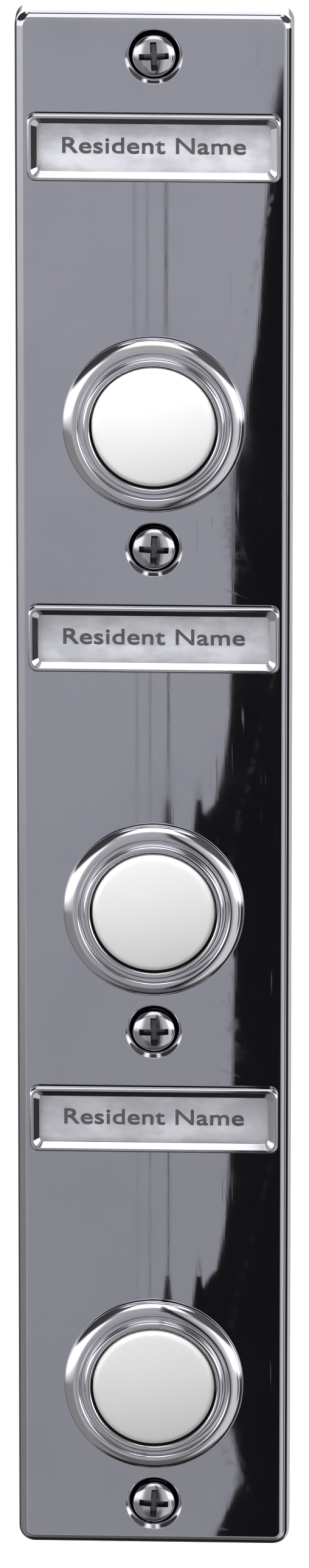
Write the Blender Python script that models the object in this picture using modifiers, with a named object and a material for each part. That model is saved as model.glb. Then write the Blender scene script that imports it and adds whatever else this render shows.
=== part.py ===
"""Door-entry call panel: name window and lit push button, three stations one above the other.

World frame: origin at the centre of the wall plane, +Z up the panel, +X to the visitor's right,
-Y out of the wall. Every piece is modelled on the bench, with the panel on its back: X to the
right, Y up the panel and Z as the height above the wall plane. One empty stands the bench up.
Heights below zero lie behind the wall plane, in the recess behind the panel.
"""
import math

import bmesh
import bpy
from mathutils import Matrix, Vector

MM = 0.001

# Clearances
GAP = 0.25 * MM             # between touching pieces, and beside fixed pieces in holes
CAP_GAP = 0.30 * MM         # between the sliding cap and its bore
THROUGH = 0.50 * MM         # how far a cutter runs past the face that it opens
EMBED = 0.30 * MM           # how far a joined boss reaches into its parent

# Panel
STATION_COUNT = 3
STATION_PITCH = 68.6 * MM   # screw to screw
END_MARGIN = 6.1 * MM       # end screw to the panel's end
SIDE_BAND = 6.3 * MM        # bezel's edge to the panel's side
PANEL_DEPTH = 4.5 * MM
SHEET = 1.2 * MM            # cover's wall
CORNER_RADIUS = 2.2 * MM
EDGE_RADIUS = 1.3 * MM

# Push button and bezel
CAP_RADIUS = 8.3 * MM
CAP_WALL = 1.2 * MM
CAP_DOME = 0.5 * MM         # rise of the dome over the cap's shoulder
CAP_SHOULDER = 0.8 * MM     # radius of the rounded shoulder
CAP_PROUD = 0.75 * MM       # dome's top over the collar's top
TRAVEL = 1.5 * MM
LIP_STEP = 0.6 * MM         # bore to rear counterbore
LIP_THICKNESS = 1.0 * MM
STEM_RADIUS = 1.9 * MM
COLLAR_WIDTH = 0.9 * MM
COLLAR_HEIGHT = 1.7 * MM    # over the cover
GROOVE_WIDTH = 0.6 * MM
GROOVE_FLOOR = 0.8 * MM     # over the cover
RING_WIDTH = 2.1 * MM
RING_HEIGHT = 1.45 * MM     # over the cover
BARREL_WALL = 1.3 * MM
BARREL_BACK = 3.0 * MM      # barrel's end behind the wall plane
SHOULDER_HEIGHT = 0.5 * MM  # stop inside the barrel, above the wall plane

# Ring nut
NUT_WIDTH = 1.75 * MM
NUT_THICKNESS = 2.0 * MM
NUT_RECESS = 1.6 * MM
NUT_NOTCH = 2.4 * MM

# Switch
HOUSING_WALL = 1.05 * MM
HOUSING_FLOOR = 1.8 * MM
CAVITY_DEPTH = 6.55 * MM
SPIGOT_RADIUS = 1.6 * MM
SPIGOT_HEIGHT = 1.9 * MM
STEM_PAST_BARREL = 1.2 * MM
BRIDGE_THICKNESS = 0.5 * MM
BRIDGE_HALF_WIDTH = 1.8 * MM
CONTACT_OFFSET = 5.6 * MM   # contact axis from the button's axis
CONTACT_RADIUS = 1.1 * MM
CONTACT_HEIGHT = 0.3 * MM
POST_HEAD_RADIUS = 1.3 * MM
POST_HEAD = 0.6 * MM
POST_RADIUS = 0.9 * MM
PILLAR_RADIUS = 2.0 * MM
TAB_THICKNESS = 0.8 * MM
TAB_HALF_WIDTH = 2.4 * MM
TAB_HALF_LENGTH = 4.0 * MM
TERMINAL_DROP = 4.0 * MM    # terminal screw below the contact post
TERMINAL_SHANK = 0.95 * MM
TERMINAL_HEAD = 2.0 * MM
TERMINAL_HEAD_HEIGHT = 1.4 * MM
TERMINAL_BITE = 1.0 * MM    # shank's length in the housing
SLOT_WIDTH = 0.6 * MM
SLOT_DEPTH = 0.6 * MM
SPRING_RADIUS = 2.3 * MM
SPRING_WIRE = 0.25 * MM     # wire's radius
SPRING_TURNS = 4
LAMP_OFFSET = 5.1 * MM      # lamp above the button's axis
LAMP_RADIUS = 1.5 * MM
LAMP_FLANGE = 0.25 * MM
LAMP_LENGTH = 3.0 * MM      # straight part of the lamp's lens
LAMP_SEAT = 3.0 * MM        # lamp holder's top behind the wall plane
LAMP_LEAD = 0.25 * MM
LEAD_SPREAD = 0.6 * MM

# Cover screws
DIMPLE_RADIUS = 3.55 * MM
SCREW_RADIUS = 1.5 * MM
SCREW_HEAD = 2.85 * MM
SCREW_DOME = 0.65 * MM
SCREW_BACK = 12.0 * MM      # screw's end behind the wall plane
SCREW_TIP = 0.6 * MM
HOLE_LAND = 0.75 * MM       # straight hole under the countersink
BOSS_WALL = 0.55 * MM
RECESS_REACH = 2.05 * MM    # cross recess, centre to arm's end
RECESS_WIDTH = 0.85 * MM
RECESS_DEPTH = 1.1 * MM
BEZEL_TO_DIMPLE = 1.85 * MM
DIMPLE_TO_FRAME = 4.3 * MM

# Name window
FRAME_SIDE_MARGIN = 1.65 * MM
FRAME_HALF_HEIGHT = 4.65 * MM
FRAME_PROUD = 0.9 * MM
FRAME_LEDGE = 0.25 * MM     # frame over the edge of the cover's opening
FRAME_COLLAR = 0.35 * MM
FRAME_LIP = 0.5 * MM        # lip in front of the lens
FRAME_LIP_THICKNESS = 0.45 * MM
FRAME_CORNER = 1.2 * MM
FRAME_EDGE = 0.3 * MM
LENS_THICKNESS = 0.8 * MM
CARD_THICKNESS = 0.2 * MM
CLIP_THICKNESS = 0.7 * MM
CLIP_SLOT = 1.2 * MM

# Rear chassis and wall seal
SEAL_EDGE_WEB = 0.85 * MM
SEAL_GROOVE = 2.0 * MM
SEAL_DEPTH = 1.0 * MM

# Bus wires
WIRE_RADIUS = 0.65 * MM

FINE_STEPS = 20
SMALL_STEPS = 10
COIL_STEPS = 8
ARC_STEPS = 3
CORNER_STEPS = 4
EDGE_STEPS = 3

# Worked-out sizes: radii
BORE_RADIUS = CAP_RADIUS + CAP_GAP
BARREL_RADIUS = BORE_RADIUS + BARREL_WALL
COUNTERBORE_RADIUS = BORE_RADIUS + LIP_STEP
LIP_RADIUS = COUNTERBORE_RADIUS - GAP
COLLAR_RADIUS = BORE_RADIUS + COLLAR_WIDTH
GROOVE_RADIUS = COLLAR_RADIUS + GROOVE_WIDTH
BEZEL_RADIUS = GROOVE_RADIUS + RING_WIDTH
CLEAR_BARREL = BARREL_RADIUS + GAP
NUT_RADIUS = CLEAR_BARREL + NUT_WIDTH
HOUSING_RADIUS = CLEAR_BARREL + HOUSING_WALL
SCREW_HOLE = SCREW_RADIUS + GAP
BOSS_RADIUS = DIMPLE_RADIUS + BOSS_WALL

# Worked-out sizes: panel and layout
HALF_WIDTH = BEZEL_RADIUS + SIDE_BAND
HALF_HEIGHT = STATION_COUNT * STATION_PITCH / 2 + END_MARGIN
SCREW_TO_BUTTON = BEZEL_RADIUS + BEZEL_TO_DIMPLE + DIMPLE_RADIUS
SCREW_TO_NAME = DIMPLE_RADIUS + DIMPLE_TO_FRAME + FRAME_HALF_HEIGHT
SCREW_ROWS = [STATION_PITCH * (STATION_COUNT / 2 - i) for i in range(STATION_COUNT + 1)]
NAME_ROWS = [row - SCREW_TO_NAME for row in SCREW_ROWS[:-1]]
BUTTON_ROWS = [row + SCREW_TO_BUTTON for row in SCREW_ROWS[1:]]

# Worked-out sizes: heights above the wall plane
COVER_BACK = PANEL_DEPTH - SHEET
CHASSIS_TOP = COVER_BACK - GAP
COLLAR_TOP = PANEL_DEPTH + COLLAR_HEIGHT
CAP_TOP = COLLAR_TOP + CAP_PROUD
LIP_TOP = SHOULDER_HEIGHT - GAP
NUT_TOP = NUT_RECESS - GAP
NUT_BACK = NUT_TOP - NUT_THICKNESS
HOUSING_TOP = NUT_BACK - GAP
CAVITY_TOP = -BARREL_BACK - GAP
CAVITY_FLOOR = CAVITY_TOP - CAVITY_DEPTH
HOUSING_BACK = CAVITY_FLOOR - HOUSING_FLOOR
STEM_END = -BARREL_BACK - STEM_PAST_BARREL
BRIDGE_TOP = STEM_END - GAP
BRIDGE_BACK = BRIDGE_TOP - BRIDGE_THICKNESS
POST_TOP = BRIDGE_BACK - CONTACT_HEIGHT - TRAVEL - GAP
PILLAR_TOP = POST_TOP - POST_HEAD - GAP
TAB_TOP = HOUSING_BACK - GAP
TAB_BACK = TAB_TOP - TAB_THICKNESS
TERMINAL_HEAD_TOP = TAB_BACK - GAP
WIRE_HEIGHT = TERMINAL_HEAD_TOP - WIRE_RADIUS
BOSS_BACK = PANEL_DEPTH - (DIMPLE_RADIUS - SCREW_HOLE) - HOLE_LAND
LENS_TOP = PANEL_DEPTH + FRAME_PROUD - FRAME_LIP_THICKNESS - GAP
CARD_TOP = LENS_TOP - LENS_THICKNESS - GAP
CLIP_TOP = CARD_TOP - CARD_THICKNESS - GAP
CLIP_BACK = CLIP_TOP - CLIP_THICKNESS

# Worked-out sizes: half sizes of the name window, from the frame inwards
FRAME_HALF = Vector((HALF_WIDTH - FRAME_SIDE_MARGIN, FRAME_HALF_HEIGHT))
OPENING_HALF = FRAME_HALF - Vector((FRAME_LEDGE, FRAME_LEDGE))
COLLAR_HALF = OPENING_HALF - Vector((GAP, GAP))
REBATE_HALF = COLLAR_HALF - Vector((FRAME_COLLAR, FRAME_COLLAR))
LENS_HALF = REBATE_HALF - Vector((GAP, GAP))
WINDOW_HALF = REBATE_HALF - Vector((FRAME_LIP, FRAME_LIP))

# Finish: colour, roughness, metallic
FINISHES = {
    "chrome_cover": ((0.55, 0.55, 0.58), 0.12, 1.0),
    "chrome_bezel": ((0.68, 0.68, 0.71), 0.10, 1.0),
    "chrome_frame": ((0.62, 0.62, 0.66), 0.14, 1.0),
    "chrome_screw": ((0.60, 0.60, 0.63), 0.20, 1.0),
    "cap_white": ((0.92, 0.92, 0.91), 0.35, 0.0),
    "card_silver": ((0.80, 0.80, 0.83), 0.45, 0.0),
    "lens_clear": ((0.90, 0.93, 0.95), 0.08, 0.0),
    "clip_steel": ((0.55, 0.56, 0.58), 0.35, 1.0),
    "chassis_black": ((0.03, 0.03, 0.03), 0.55, 0.0),
    "seal_rubber": ((0.02, 0.02, 0.02), 0.80, 0.0),
    "nut_brass": ((0.72, 0.56, 0.26), 0.30, 1.0),
    "housing_ivory": ((0.80, 0.76, 0.64), 0.45, 0.0),
    "spring_steel": ((0.60, 0.61, 0.63), 0.25, 1.0),
    "bridge_bronze": ((0.70, 0.42, 0.20), 0.30, 1.0),
    "terminal_brass": ((0.78, 0.62, 0.30), 0.28, 1.0),
    "terminal_steel": ((0.65, 0.65, 0.62), 0.30, 1.0),
    "lamp_warm": ((0.95, 0.85, 0.60), 0.15, 0.0),
    "wire_red": ((0.55, 0.05, 0.04), 0.45, 0.0),
}


def clear_scene():
    """Remove the objects that the scene starts with."""
    for obj in list(bpy.data.objects):
        bpy.data.objects.remove(obj, do_unlink=True)


def make_collection(name):
    """Add a collection to the scene."""
    collection = bpy.data.collections.new(name)
    bpy.context.scene.collection.children.link(collection)
    return collection


def make_finish(name):
    """Principled material from the finish table, made once."""
    if name in bpy.data.materials:
        return bpy.data.materials[name]
    colour, roughness, metallic = FINISHES[name]
    made = bpy.data.materials.new(name)
    made.use_nodes = True
    made.diffuse_color = (*colour, 1.0)
    shader = made.node_tree.nodes["Principled BSDF"]
    shader.inputs["Base Color"].default_value = (*colour, 1.0)
    shader.inputs["Roughness"].default_value = roughness
    shader.inputs["Metallic"].default_value = metallic
    return made


class Bench:
    """Places pieces and cutters on the bench and keeps them in their collections."""

    def __init__(self):
        self.parts = make_collection("door_intercom_panel")
        self.cutters = make_collection("cutters")
        self.stand = self.axis("bench_stand")
        self.stand.rotation_euler = (math.pi / 2, 0, 0)

    def axis(self, name, up=0.0, parent=None):
        """Empty at a row of the panel, such as a button's axis."""
        empty = bpy.data.objects.new(name, None)
        empty.empty_display_size = 5 * MM
        empty.location = (0, up, 0)
        empty.parent = parent
        self.parts.objects.link(empty)
        return empty

    def place(self, name, data, parent, at, finish):
        """Link a piece, or a cutter when it has no finish, under its axis."""
        obj = bpy.data.objects.new(name, data)
        obj.parent = parent
        obj.location = (at[0], at[1], 0)
        if finish:
            data.materials.append(make_finish(finish))
            self.parts.objects.link(obj)
        else:
            obj.hide_render = True
            obj.display_type = "WIRE"
            self.cutters.objects.link(obj)
        return obj

    def solid(self, name, bm, parent, finish=None, at=(0, 0)):
        """Object from a bmesh."""
        bmesh.ops.recalc_face_normals(bm, faces=bm.faces)
        mesh = bpy.data.meshes.new(name)
        bm.to_mesh(mesh)
        bm.free()
        return self.place(name, mesh, parent, at, finish)

    def turned(self, name, profile, parent, finish=None, at=(0, 0), steps=FINE_STEPS):
        """Object turned round its Z axis from (radius, height) points.

        A profile that leaves the axis ends on it; any other profile is a closed loop.
        """
        bm = bmesh.new()
        verts = [bm.verts.new((radius, 0, height)) for radius, height in profile]
        for first, second in zip(verts, verts[1:]):
            bm.edges.new((first, second))
        if profile[0][0] > 0:
            bm.edges.new((verts[-1], verts[0]))
        mesh = bpy.data.meshes.new(name)
        bm.to_mesh(mesh)
        bm.free()
        obj = self.place(name, mesh, parent, at, finish)
        screw = obj.modifiers.new("turn", "SCREW")
        screw.axis = "Z"
        screw.steps = steps
        screw.render_steps = steps
        screw.use_merge_vertices = True
        screw.merge_threshold = 0.01 * MM
        screw.use_smooth_shade = False
        return obj

    def tube(self, name, points, radius, parent, finish, at=(0, 0)):
        """Wire along a list of points, with round section and filled ends."""
        curve = bpy.data.curves.new(name, "CURVE")
        curve.dimensions = "3D"
        curve.bevel_depth = radius
        curve.bevel_resolution = 2
        curve.use_fill_caps = True
        spline = curve.splines.new("POLY")
        spline.points.add(len(points) - 1)
        for point, place in zip(spline.points, points):
            point.co = (*place, 1.0)
        return self.place(name, curve, parent, at, finish)


def add_slab(bm, half, low, high, corner=0.0, centre=(0, 0), edge=0.0, steps=ARC_STEPS):
    """Add a rounded rectangle, half sizes in `half`, from height low to high.

    `edge` also rounds its upper outline.
    """
    turn = Matrix.Translation((centre[0], centre[1], (low + high) / 2))
    size = Matrix.Diagonal((2 * half[0], 2 * half[1], high - low, 1))
    verts = bmesh.ops.create_cube(bm, size=1, matrix=turn @ size)["verts"]
    if corner:
        posts = {e for v in verts for e in v.link_edges if abs((e.verts[0].co - e.verts[1].co).z) > GAP / 2}
        bmesh.ops.bevel(bm, geom=list(posts), offset=corner, offset_type="OFFSET",
                        segments=steps, profile=0.5, affect="EDGES", clamp_overlap=True)
    if edge:
        rim = [e for e in bm.edges if all(abs(v.co.z - high) < GAP / 100 for v in e.verts)]
        bmesh.ops.bevel(bm, geom=rim, offset=edge, offset_type="OFFSET",
                        segments=2, profile=0.5, affect="EDGES", clamp_overlap=True)


def add_drum(bm, centre, radius, low, high, top_radius=None, steps=FINE_STEPS):
    """Add a cylinder, or a cone when top_radius differs, from height low to high."""
    bmesh.ops.create_cone(
        bm, cap_ends=True, segments=steps, radius1=radius,
        radius2=radius if top_radius is None else top_radius,
        depth=high - low, matrix=Matrix.Translation((centre[0], centre[1], (low + high) / 2)))


def combine(target, other, operation):
    """Add an exact Boolean to the target and return the target."""
    cut = target.modifiers.new(operation.lower(), "BOOLEAN")
    cut.operation = operation
    cut.solver = "EXACT"
    cut.object = other
    return target


def make_ring(bench, name, outer, width, low, high, corner, parent, finish=None):
    """Rounded rectangular ring, `width` wide inside the outer half sizes."""
    body = bmesh.new()
    add_slab(body, outer, low, high, corner)
    ring = bench.solid(name, body, parent, finish)
    core = bmesh.new()
    inner = (outer[0] - width, outer[1] - width)
    add_slab(core, inner, low - THROUGH, high + THROUGH, max(corner - width, GAP))
    return combine(ring, bench.solid(name + "_core", core, parent), "DIFFERENCE")


def make_front_cover(bench):
    """Pressed cover: a tray with rounded edges, screw bosses, name openings and button bores."""
    tray = bmesh.new()
    size = Matrix.Diagonal((2 * HALF_WIDTH, 2 * HALF_HEIGHT, PANEL_DEPTH, 1))
    bmesh.ops.create_cube(tray, size=1, matrix=Matrix.Translation((0, 0, PANEL_DEPTH / 2)) @ size)
    back = [f for f in tray.faces if f.calc_center_median().z < PANEL_DEPTH / 4]
    bmesh.ops.delete(tray, geom=back, context="FACES_ONLY")
    posts = [e for e in tray.edges if abs((e.verts[0].co - e.verts[1].co).z) > PANEL_DEPTH / 2]
    bmesh.ops.bevel(tray, geom=posts, offset=CORNER_RADIUS, offset_type="OFFSET",
                    segments=CORNER_STEPS, profile=0.5, affect="EDGES", clamp_overlap=True)
    rim = [e for e in tray.edges if all(v.co.z > PANEL_DEPTH - GAP for v in e.verts)]
    bmesh.ops.bevel(tray, geom=rim, offset=EDGE_RADIUS, offset_type="OFFSET",
                    segments=EDGE_STEPS, profile=0.5, affect="EDGES", clamp_overlap=True)
    cover = bench.solid("front_cover", tray, bench.stand, "chrome_cover")
    shell = cover.modifiers.new("sheet", "SOLIDIFY")
    shell.thickness = SHEET
    shell.offset = -1
    shell.use_even_offset = True

    bosses = bmesh.new()
    for row in SCREW_ROWS:
        add_drum(bosses, (0, row), BOSS_RADIUS, BOSS_BACK, COVER_BACK + EMBED)
    combine(cover, bench.solid("cover_bosses", bosses, bench.stand), "UNION")

    openings = bmesh.new()
    for row in NAME_ROWS:
        add_slab(openings, OPENING_HALF, COVER_BACK - THROUGH, PANEL_DEPTH + THROUGH, FRAME_CORNER, (0, row))
    for row in BUTTON_ROWS:
        add_drum(openings, (0, row), CLEAR_BARREL, COVER_BACK - THROUGH, PANEL_DEPTH + THROUGH)
    cone = DIMPLE_RADIUS - SCREW_HOLE
    for row in SCREW_ROWS:
        add_drum(openings, (0, row), SCREW_HOLE, PANEL_DEPTH - cone, PANEL_DEPTH + THROUGH,
                 DIMPLE_RADIUS + THROUGH)
    combine(cover, bench.solid("cover_openings", openings, bench.stand), "DIFFERENCE")

    holes = bmesh.new()
    for row in SCREW_ROWS:
        add_drum(holes, (0, row), SCREW_HOLE, BOSS_BACK - THROUGH, PANEL_DEPTH)
    combine(cover, bench.solid("cover_screw_holes", holes, bench.stand), "DIFFERENCE")


def make_rear_chassis(bench):
    """Moulded carrier that fills the cover, and the seal in its rear groove."""
    inset = SHEET + GAP
    half = Vector((HALF_WIDTH - inset, HALF_HEIGHT - inset))
    corner = CORNER_RADIUS - SHEET
    body = bmesh.new()
    add_slab(body, half, 0, CHASSIS_TOP, corner)
    chassis = bench.solid("rear_chassis", body, bench.stand, "chassis_black")

    front = bmesh.new()
    for row in NAME_ROWS:
        add_slab(front, OPENING_HALF, CLIP_BACK - GAP, CHASSIS_TOP + THROUGH, FRAME_CORNER, (0, row))
    for row in BUTTON_ROWS:
        add_drum(front, (0, row), CLEAR_BARREL, -THROUGH, CHASSIS_TOP + THROUGH)
    for row in SCREW_ROWS:
        add_drum(front, (0, row), BOSS_RADIUS + GAP, BOSS_BACK - GAP, CHASSIS_TOP + THROUGH)
    combine(chassis, bench.solid("chassis_front_cuts", front, bench.stand), "DIFFERENCE")

    rear = bmesh.new()
    for row in BUTTON_ROWS:
        add_drum(rear, (0, row), NUT_RADIUS + GAP, -THROUGH, NUT_RECESS)
    for row in SCREW_ROWS:
        add_drum(rear, (0, row), SCREW_HOLE, -THROUGH, CHASSIS_TOP)
    combine(chassis, bench.solid("chassis_rear_cuts", rear, bench.stand), "DIFFERENCE")

    groove_half = half - Vector((SEAL_EDGE_WEB, SEAL_EDGE_WEB))
    groove = make_ring(bench, "chassis_seal_groove", groove_half, SEAL_GROOVE,
                       -THROUGH, SEAL_DEPTH, corner, bench.stand)
    combine(chassis, groove, "DIFFERENCE")
    seal_half = groove_half - Vector((GAP, GAP))
    make_ring(bench, "wall_seal", seal_half, SEAL_GROOVE - 2 * GAP,
              0, SEAL_DEPTH - GAP, corner, bench.stand, "seal_rubber")


def make_cover_screw(bench, number, row):
    """Raised countersunk screw with a cross recess."""
    axis = bench.axis(f"screw_axis_{number}", row, bench.stand)
    rim = PANEL_DEPTH - (DIMPLE_RADIUS - SCREW_HEAD) + GAP * math.sqrt(2)
    dome = [(SCREW_HEAD * math.sin(a), rim + SCREW_DOME * math.cos(a))
            for a in (i * math.pi / 2 / ARC_STEPS for i in range(ARC_STEPS + 1))]
    dome[0] = (0, dome[0][1])
    under = rim - (SCREW_HEAD - SCREW_RADIUS)
    shank = [(SCREW_RADIUS, under), (SCREW_RADIUS, -SCREW_BACK + SCREW_TIP),
             (SCREW_RADIUS - SCREW_TIP, -SCREW_BACK), (0, -SCREW_BACK)]
    screw = bench.turned(f"cover_screw_{number}", dome + shank, axis, "chrome_screw", steps=FINE_STEPS)
    top = rim + SCREW_DOME + THROUGH
    floor = rim + SCREW_DOME - RECESS_DEPTH
    for arm, half in (("across", (RECESS_REACH, RECESS_WIDTH / 2)), ("along", (RECESS_WIDTH / 2, RECESS_REACH))):
        cutter = bmesh.new()
        add_slab(cutter, half, floor, top)
        for vert in cutter.verts:
            if vert.co.z < rim:
                vert.co.x *= 0.6
                vert.co.y *= 0.6
        combine(screw, bench.solid(f"screw_{number}_recess_{arm}", cutter, axis), "DIFFERENCE")


def make_name_window(bench, number, row):
    """Bead frame, lens, card and the clip behind the card."""
    axis = bench.axis(f"name_axis_{number}", row, bench.stand)
    bead = bmesh.new()
    add_slab(bead, FRAME_HALF, PANEL_DEPTH + GAP, PANEL_DEPTH + FRAME_PROUD, FRAME_CORNER, edge=FRAME_EDGE)
    frame = bench.solid(f"name_frame_{number}", bead, axis, "chrome_frame")
    collar = bmesh.new()
    add_slab(collar, COLLAR_HALF, CLIP_BACK, PANEL_DEPTH + GAP + EMBED / 2, FRAME_CORNER)
    combine(frame, bench.solid(f"frame_{number}_collar", collar, axis), "UNION")
    window = bmesh.new()
    add_slab(window, WINDOW_HALF, CLIP_BACK - THROUGH, PANEL_DEPTH + FRAME_PROUD + THROUGH, FRAME_CORNER / 2)
    combine(frame, bench.solid(f"frame_{number}_window", window, axis), "DIFFERENCE")
    rebate = bmesh.new()
    add_slab(rebate, REBATE_HALF, CLIP_BACK - THROUGH, LENS_TOP + GAP, FRAME_CORNER / 2)
    combine(frame, bench.solid(f"frame_{number}_rebate", rebate, axis), "DIFFERENCE")

    lens = bmesh.new()
    add_slab(lens, LENS_HALF, LENS_TOP - LENS_THICKNESS, LENS_TOP, FRAME_CORNER / 2)
    bench.solid(f"name_lens_{number}", lens, axis, "lens_clear")
    card = bmesh.new()
    add_slab(card, LENS_HALF, CARD_TOP - CARD_THICKNESS, CARD_TOP, FRAME_CORNER / 2)
    bench.solid(f"name_card_{number}", card, axis, "card_silver")
    leaf = bmesh.new()
    add_slab(leaf, LENS_HALF, CLIP_BACK, CLIP_TOP, FRAME_CORNER / 2)
    clip = bench.solid(f"card_clip_{number}", leaf, axis, "clip_steel")
    slot = bmesh.new()
    slot_half = (LENS_HALF.x / 2, CLIP_SLOT)
    add_slab(slot, slot_half, CLIP_BACK - THROUGH, CLIP_TOP + THROUGH, CLIP_SLOT / 2)
    combine(clip, bench.solid(f"clip_{number}_slot", slot, axis), "DIFFERENCE")


def cap_profile():
    """Cap: domed top, rounded shoulder, skirt, stop lip and the stem inside."""
    flat = CAP_RADIUS - CAP_SHOULDER
    edge = CAP_TOP - CAP_DOME
    dome = [(flat * i / ARC_STEPS, edge + CAP_DOME * (1 - (i / ARC_STEPS) ** 2)) for i in range(ARC_STEPS)]
    angles = [i * math.pi / 2 / ARC_STEPS for i in range(ARC_STEPS + 1)]
    shoulder = [(flat + CAP_SHOULDER * math.sin(a), edge - CAP_SHOULDER * (1 - math.cos(a))) for a in angles]
    inside = CAP_RADIUS - CAP_WALL
    roof = edge - CAP_WALL + CAP_SHOULDER / 4
    lip_back = LIP_TOP - LIP_THICKNESS
    return dome + shoulder + [
        (CAP_RADIUS, LIP_TOP), (LIP_RADIUS, LIP_TOP), (LIP_RADIUS, lip_back), (inside, lip_back),
        (inside, roof), (STEM_RADIUS, roof), (STEM_RADIUS, STEM_END), (0, STEM_END)]


def bezel_profile():
    """Bezel: collar, groove, rounded outer ring and the threaded barrel."""
    ring_top = PANEL_DEPTH + RING_HEIGHT
    foot = PANEL_DEPTH + GAP
    chamfer = GAP
    drop = ring_top - foot - GAP
    ring = [(BEZEL_RADIUS - RING_WIDTH + chamfer + (RING_WIDTH - chamfer) * math.sin(a),
             foot + GAP + drop * math.cos(a))
            for a in (i * math.pi / 2 / ARC_STEPS for i in range(ARC_STEPS + 1))]
    return [
        (BORE_RADIUS + chamfer, COLLAR_TOP), (COLLAR_RADIUS - chamfer, COLLAR_TOP),
        (COLLAR_RADIUS, COLLAR_TOP - chamfer), (COLLAR_RADIUS, PANEL_DEPTH + GROOVE_FLOOR),
        (GROOVE_RADIUS, PANEL_DEPTH + GROOVE_FLOOR), (GROOVE_RADIUS, ring_top - chamfer), *ring,
        (BEZEL_RADIUS, foot), (BARREL_RADIUS, foot), (BARREL_RADIUS, -BARREL_BACK),
        (COUNTERBORE_RADIUS, -BARREL_BACK), (COUNTERBORE_RADIUS, SHOULDER_HEIGHT),
        (BORE_RADIUS, SHOULDER_HEIGHT), (BORE_RADIUS, COLLAR_TOP - chamfer)]


def make_nut(bench, number, axis):
    """Ring nut with four spanner notches."""
    profile = [(CLEAR_BARREL, NUT_TOP), (NUT_RADIUS, NUT_TOP), (NUT_RADIUS, NUT_BACK), (CLEAR_BARREL, NUT_BACK)]
    nut = bench.turned(f"retaining_nut_{number}", profile, axis, "nut_brass")
    notches = bmesh.new()
    depth = NUT_WIDTH / 2
    for quarter in range(4):
        turn = Matrix.Rotation(quarter * math.pi / 2 + math.pi / 4, 4, "Z")
        place = Matrix.Translation((NUT_RADIUS, 0, NUT_BACK))
        size = Matrix.Diagonal((2 * depth, NUT_NOTCH, NUT_THICKNESS, 1))
        bmesh.ops.create_cube(notches, size=1, matrix=turn @ place @ size)
    combine(nut, bench.solid(f"nut_{number}_notches", notches, axis), "DIFFERENCE")


def make_housing(bench, number, axis):
    """Switch cup with spring spigot, contact pillars and lamp holder."""
    profile = [
        (0, CAVITY_FLOOR + SPIGOT_HEIGHT), (SPIGOT_RADIUS, CAVITY_FLOOR + SPIGOT_HEIGHT),
        (SPIGOT_RADIUS, CAVITY_FLOOR), (COUNTERBORE_RADIUS, CAVITY_FLOOR), (COUNTERBORE_RADIUS, CAVITY_TOP),
        (CLEAR_BARREL, CAVITY_TOP), (CLEAR_BARREL, HOUSING_TOP), (HOUSING_RADIUS, HOUSING_TOP),
        (HOUSING_RADIUS, HOUSING_BACK), (0, HOUSING_BACK)]
    housing = bench.turned(f"switch_housing_{number}", profile, axis, "housing_ivory")
    bosses = bmesh.new()
    holes = bmesh.new()
    for side in (-1, 1):
        contact = (side * CONTACT_OFFSET, 0)
        add_drum(bosses, contact, PILLAR_RADIUS, CAVITY_FLOOR - EMBED, PILLAR_TOP, steps=SMALL_STEPS)
        add_drum(holes, contact, POST_RADIUS + GAP, HOUSING_BACK - THROUGH, PILLAR_TOP + THROUGH, steps=SMALL_STEPS)
        add_drum(holes, (contact[0], -TERMINAL_DROP), TERMINAL_SHANK + GAP, HOUSING_BACK - THROUGH,
                 HOUSING_BACK + TERMINAL_BITE + GAP, steps=SMALL_STEPS)
    lamp = (0, LAMP_OFFSET)
    add_drum(bosses, lamp, LAMP_RADIUS + 2 * GAP, CAVITY_FLOOR - EMBED, -LAMP_SEAT, steps=SMALL_STEPS)
    add_drum(holes, lamp, LEAD_SPREAD + LAMP_LEAD + 2 * GAP, HOUSING_BACK - THROUGH, -LAMP_SEAT + THROUGH,
             steps=SMALL_STEPS)
    combine(housing, bench.solid(f"housing_{number}_bosses", bosses, axis), "UNION")
    combine(housing, bench.solid(f"housing_{number}_holes", holes, axis), "DIFFERENCE")


def make_lamp(bench, number, axis):
    """Indicator lamp with two leads, on the holder above the button's axis."""
    base = -LAMP_SEAT + GAP
    flange_top = base + 2 * LAMP_FLANGE
    dome_foot = flange_top + LAMP_LENGTH
    dome = [(LAMP_RADIUS * math.sin(a), dome_foot + LAMP_RADIUS * math.cos(a))
            for a in (i * math.pi / 2 / ARC_STEPS for i in range(ARC_STEPS + 1))]
    dome[0] = (0, dome[0][1])
    foot = [(LAMP_RADIUS, flange_top), (LAMP_RADIUS + LAMP_FLANGE, flange_top),
            (LAMP_RADIUS + LAMP_FLANGE, base), (0, base)]
    at = (0, LAMP_OFFSET)
    lamp = bench.turned(f"lamp_{number}", dome + foot, axis, "lamp_warm", at, SMALL_STEPS)
    leads = bmesh.new()
    for side in (-1, 1):
        add_drum(leads, (side * LEAD_SPREAD, 0), LAMP_LEAD, HOUSING_BACK - GAP, base + LAMP_FLANGE, steps=8)
    combine(lamp, bench.solid(f"lamp_{number}_leads", leads, axis, at=at), "UNION")


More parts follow.
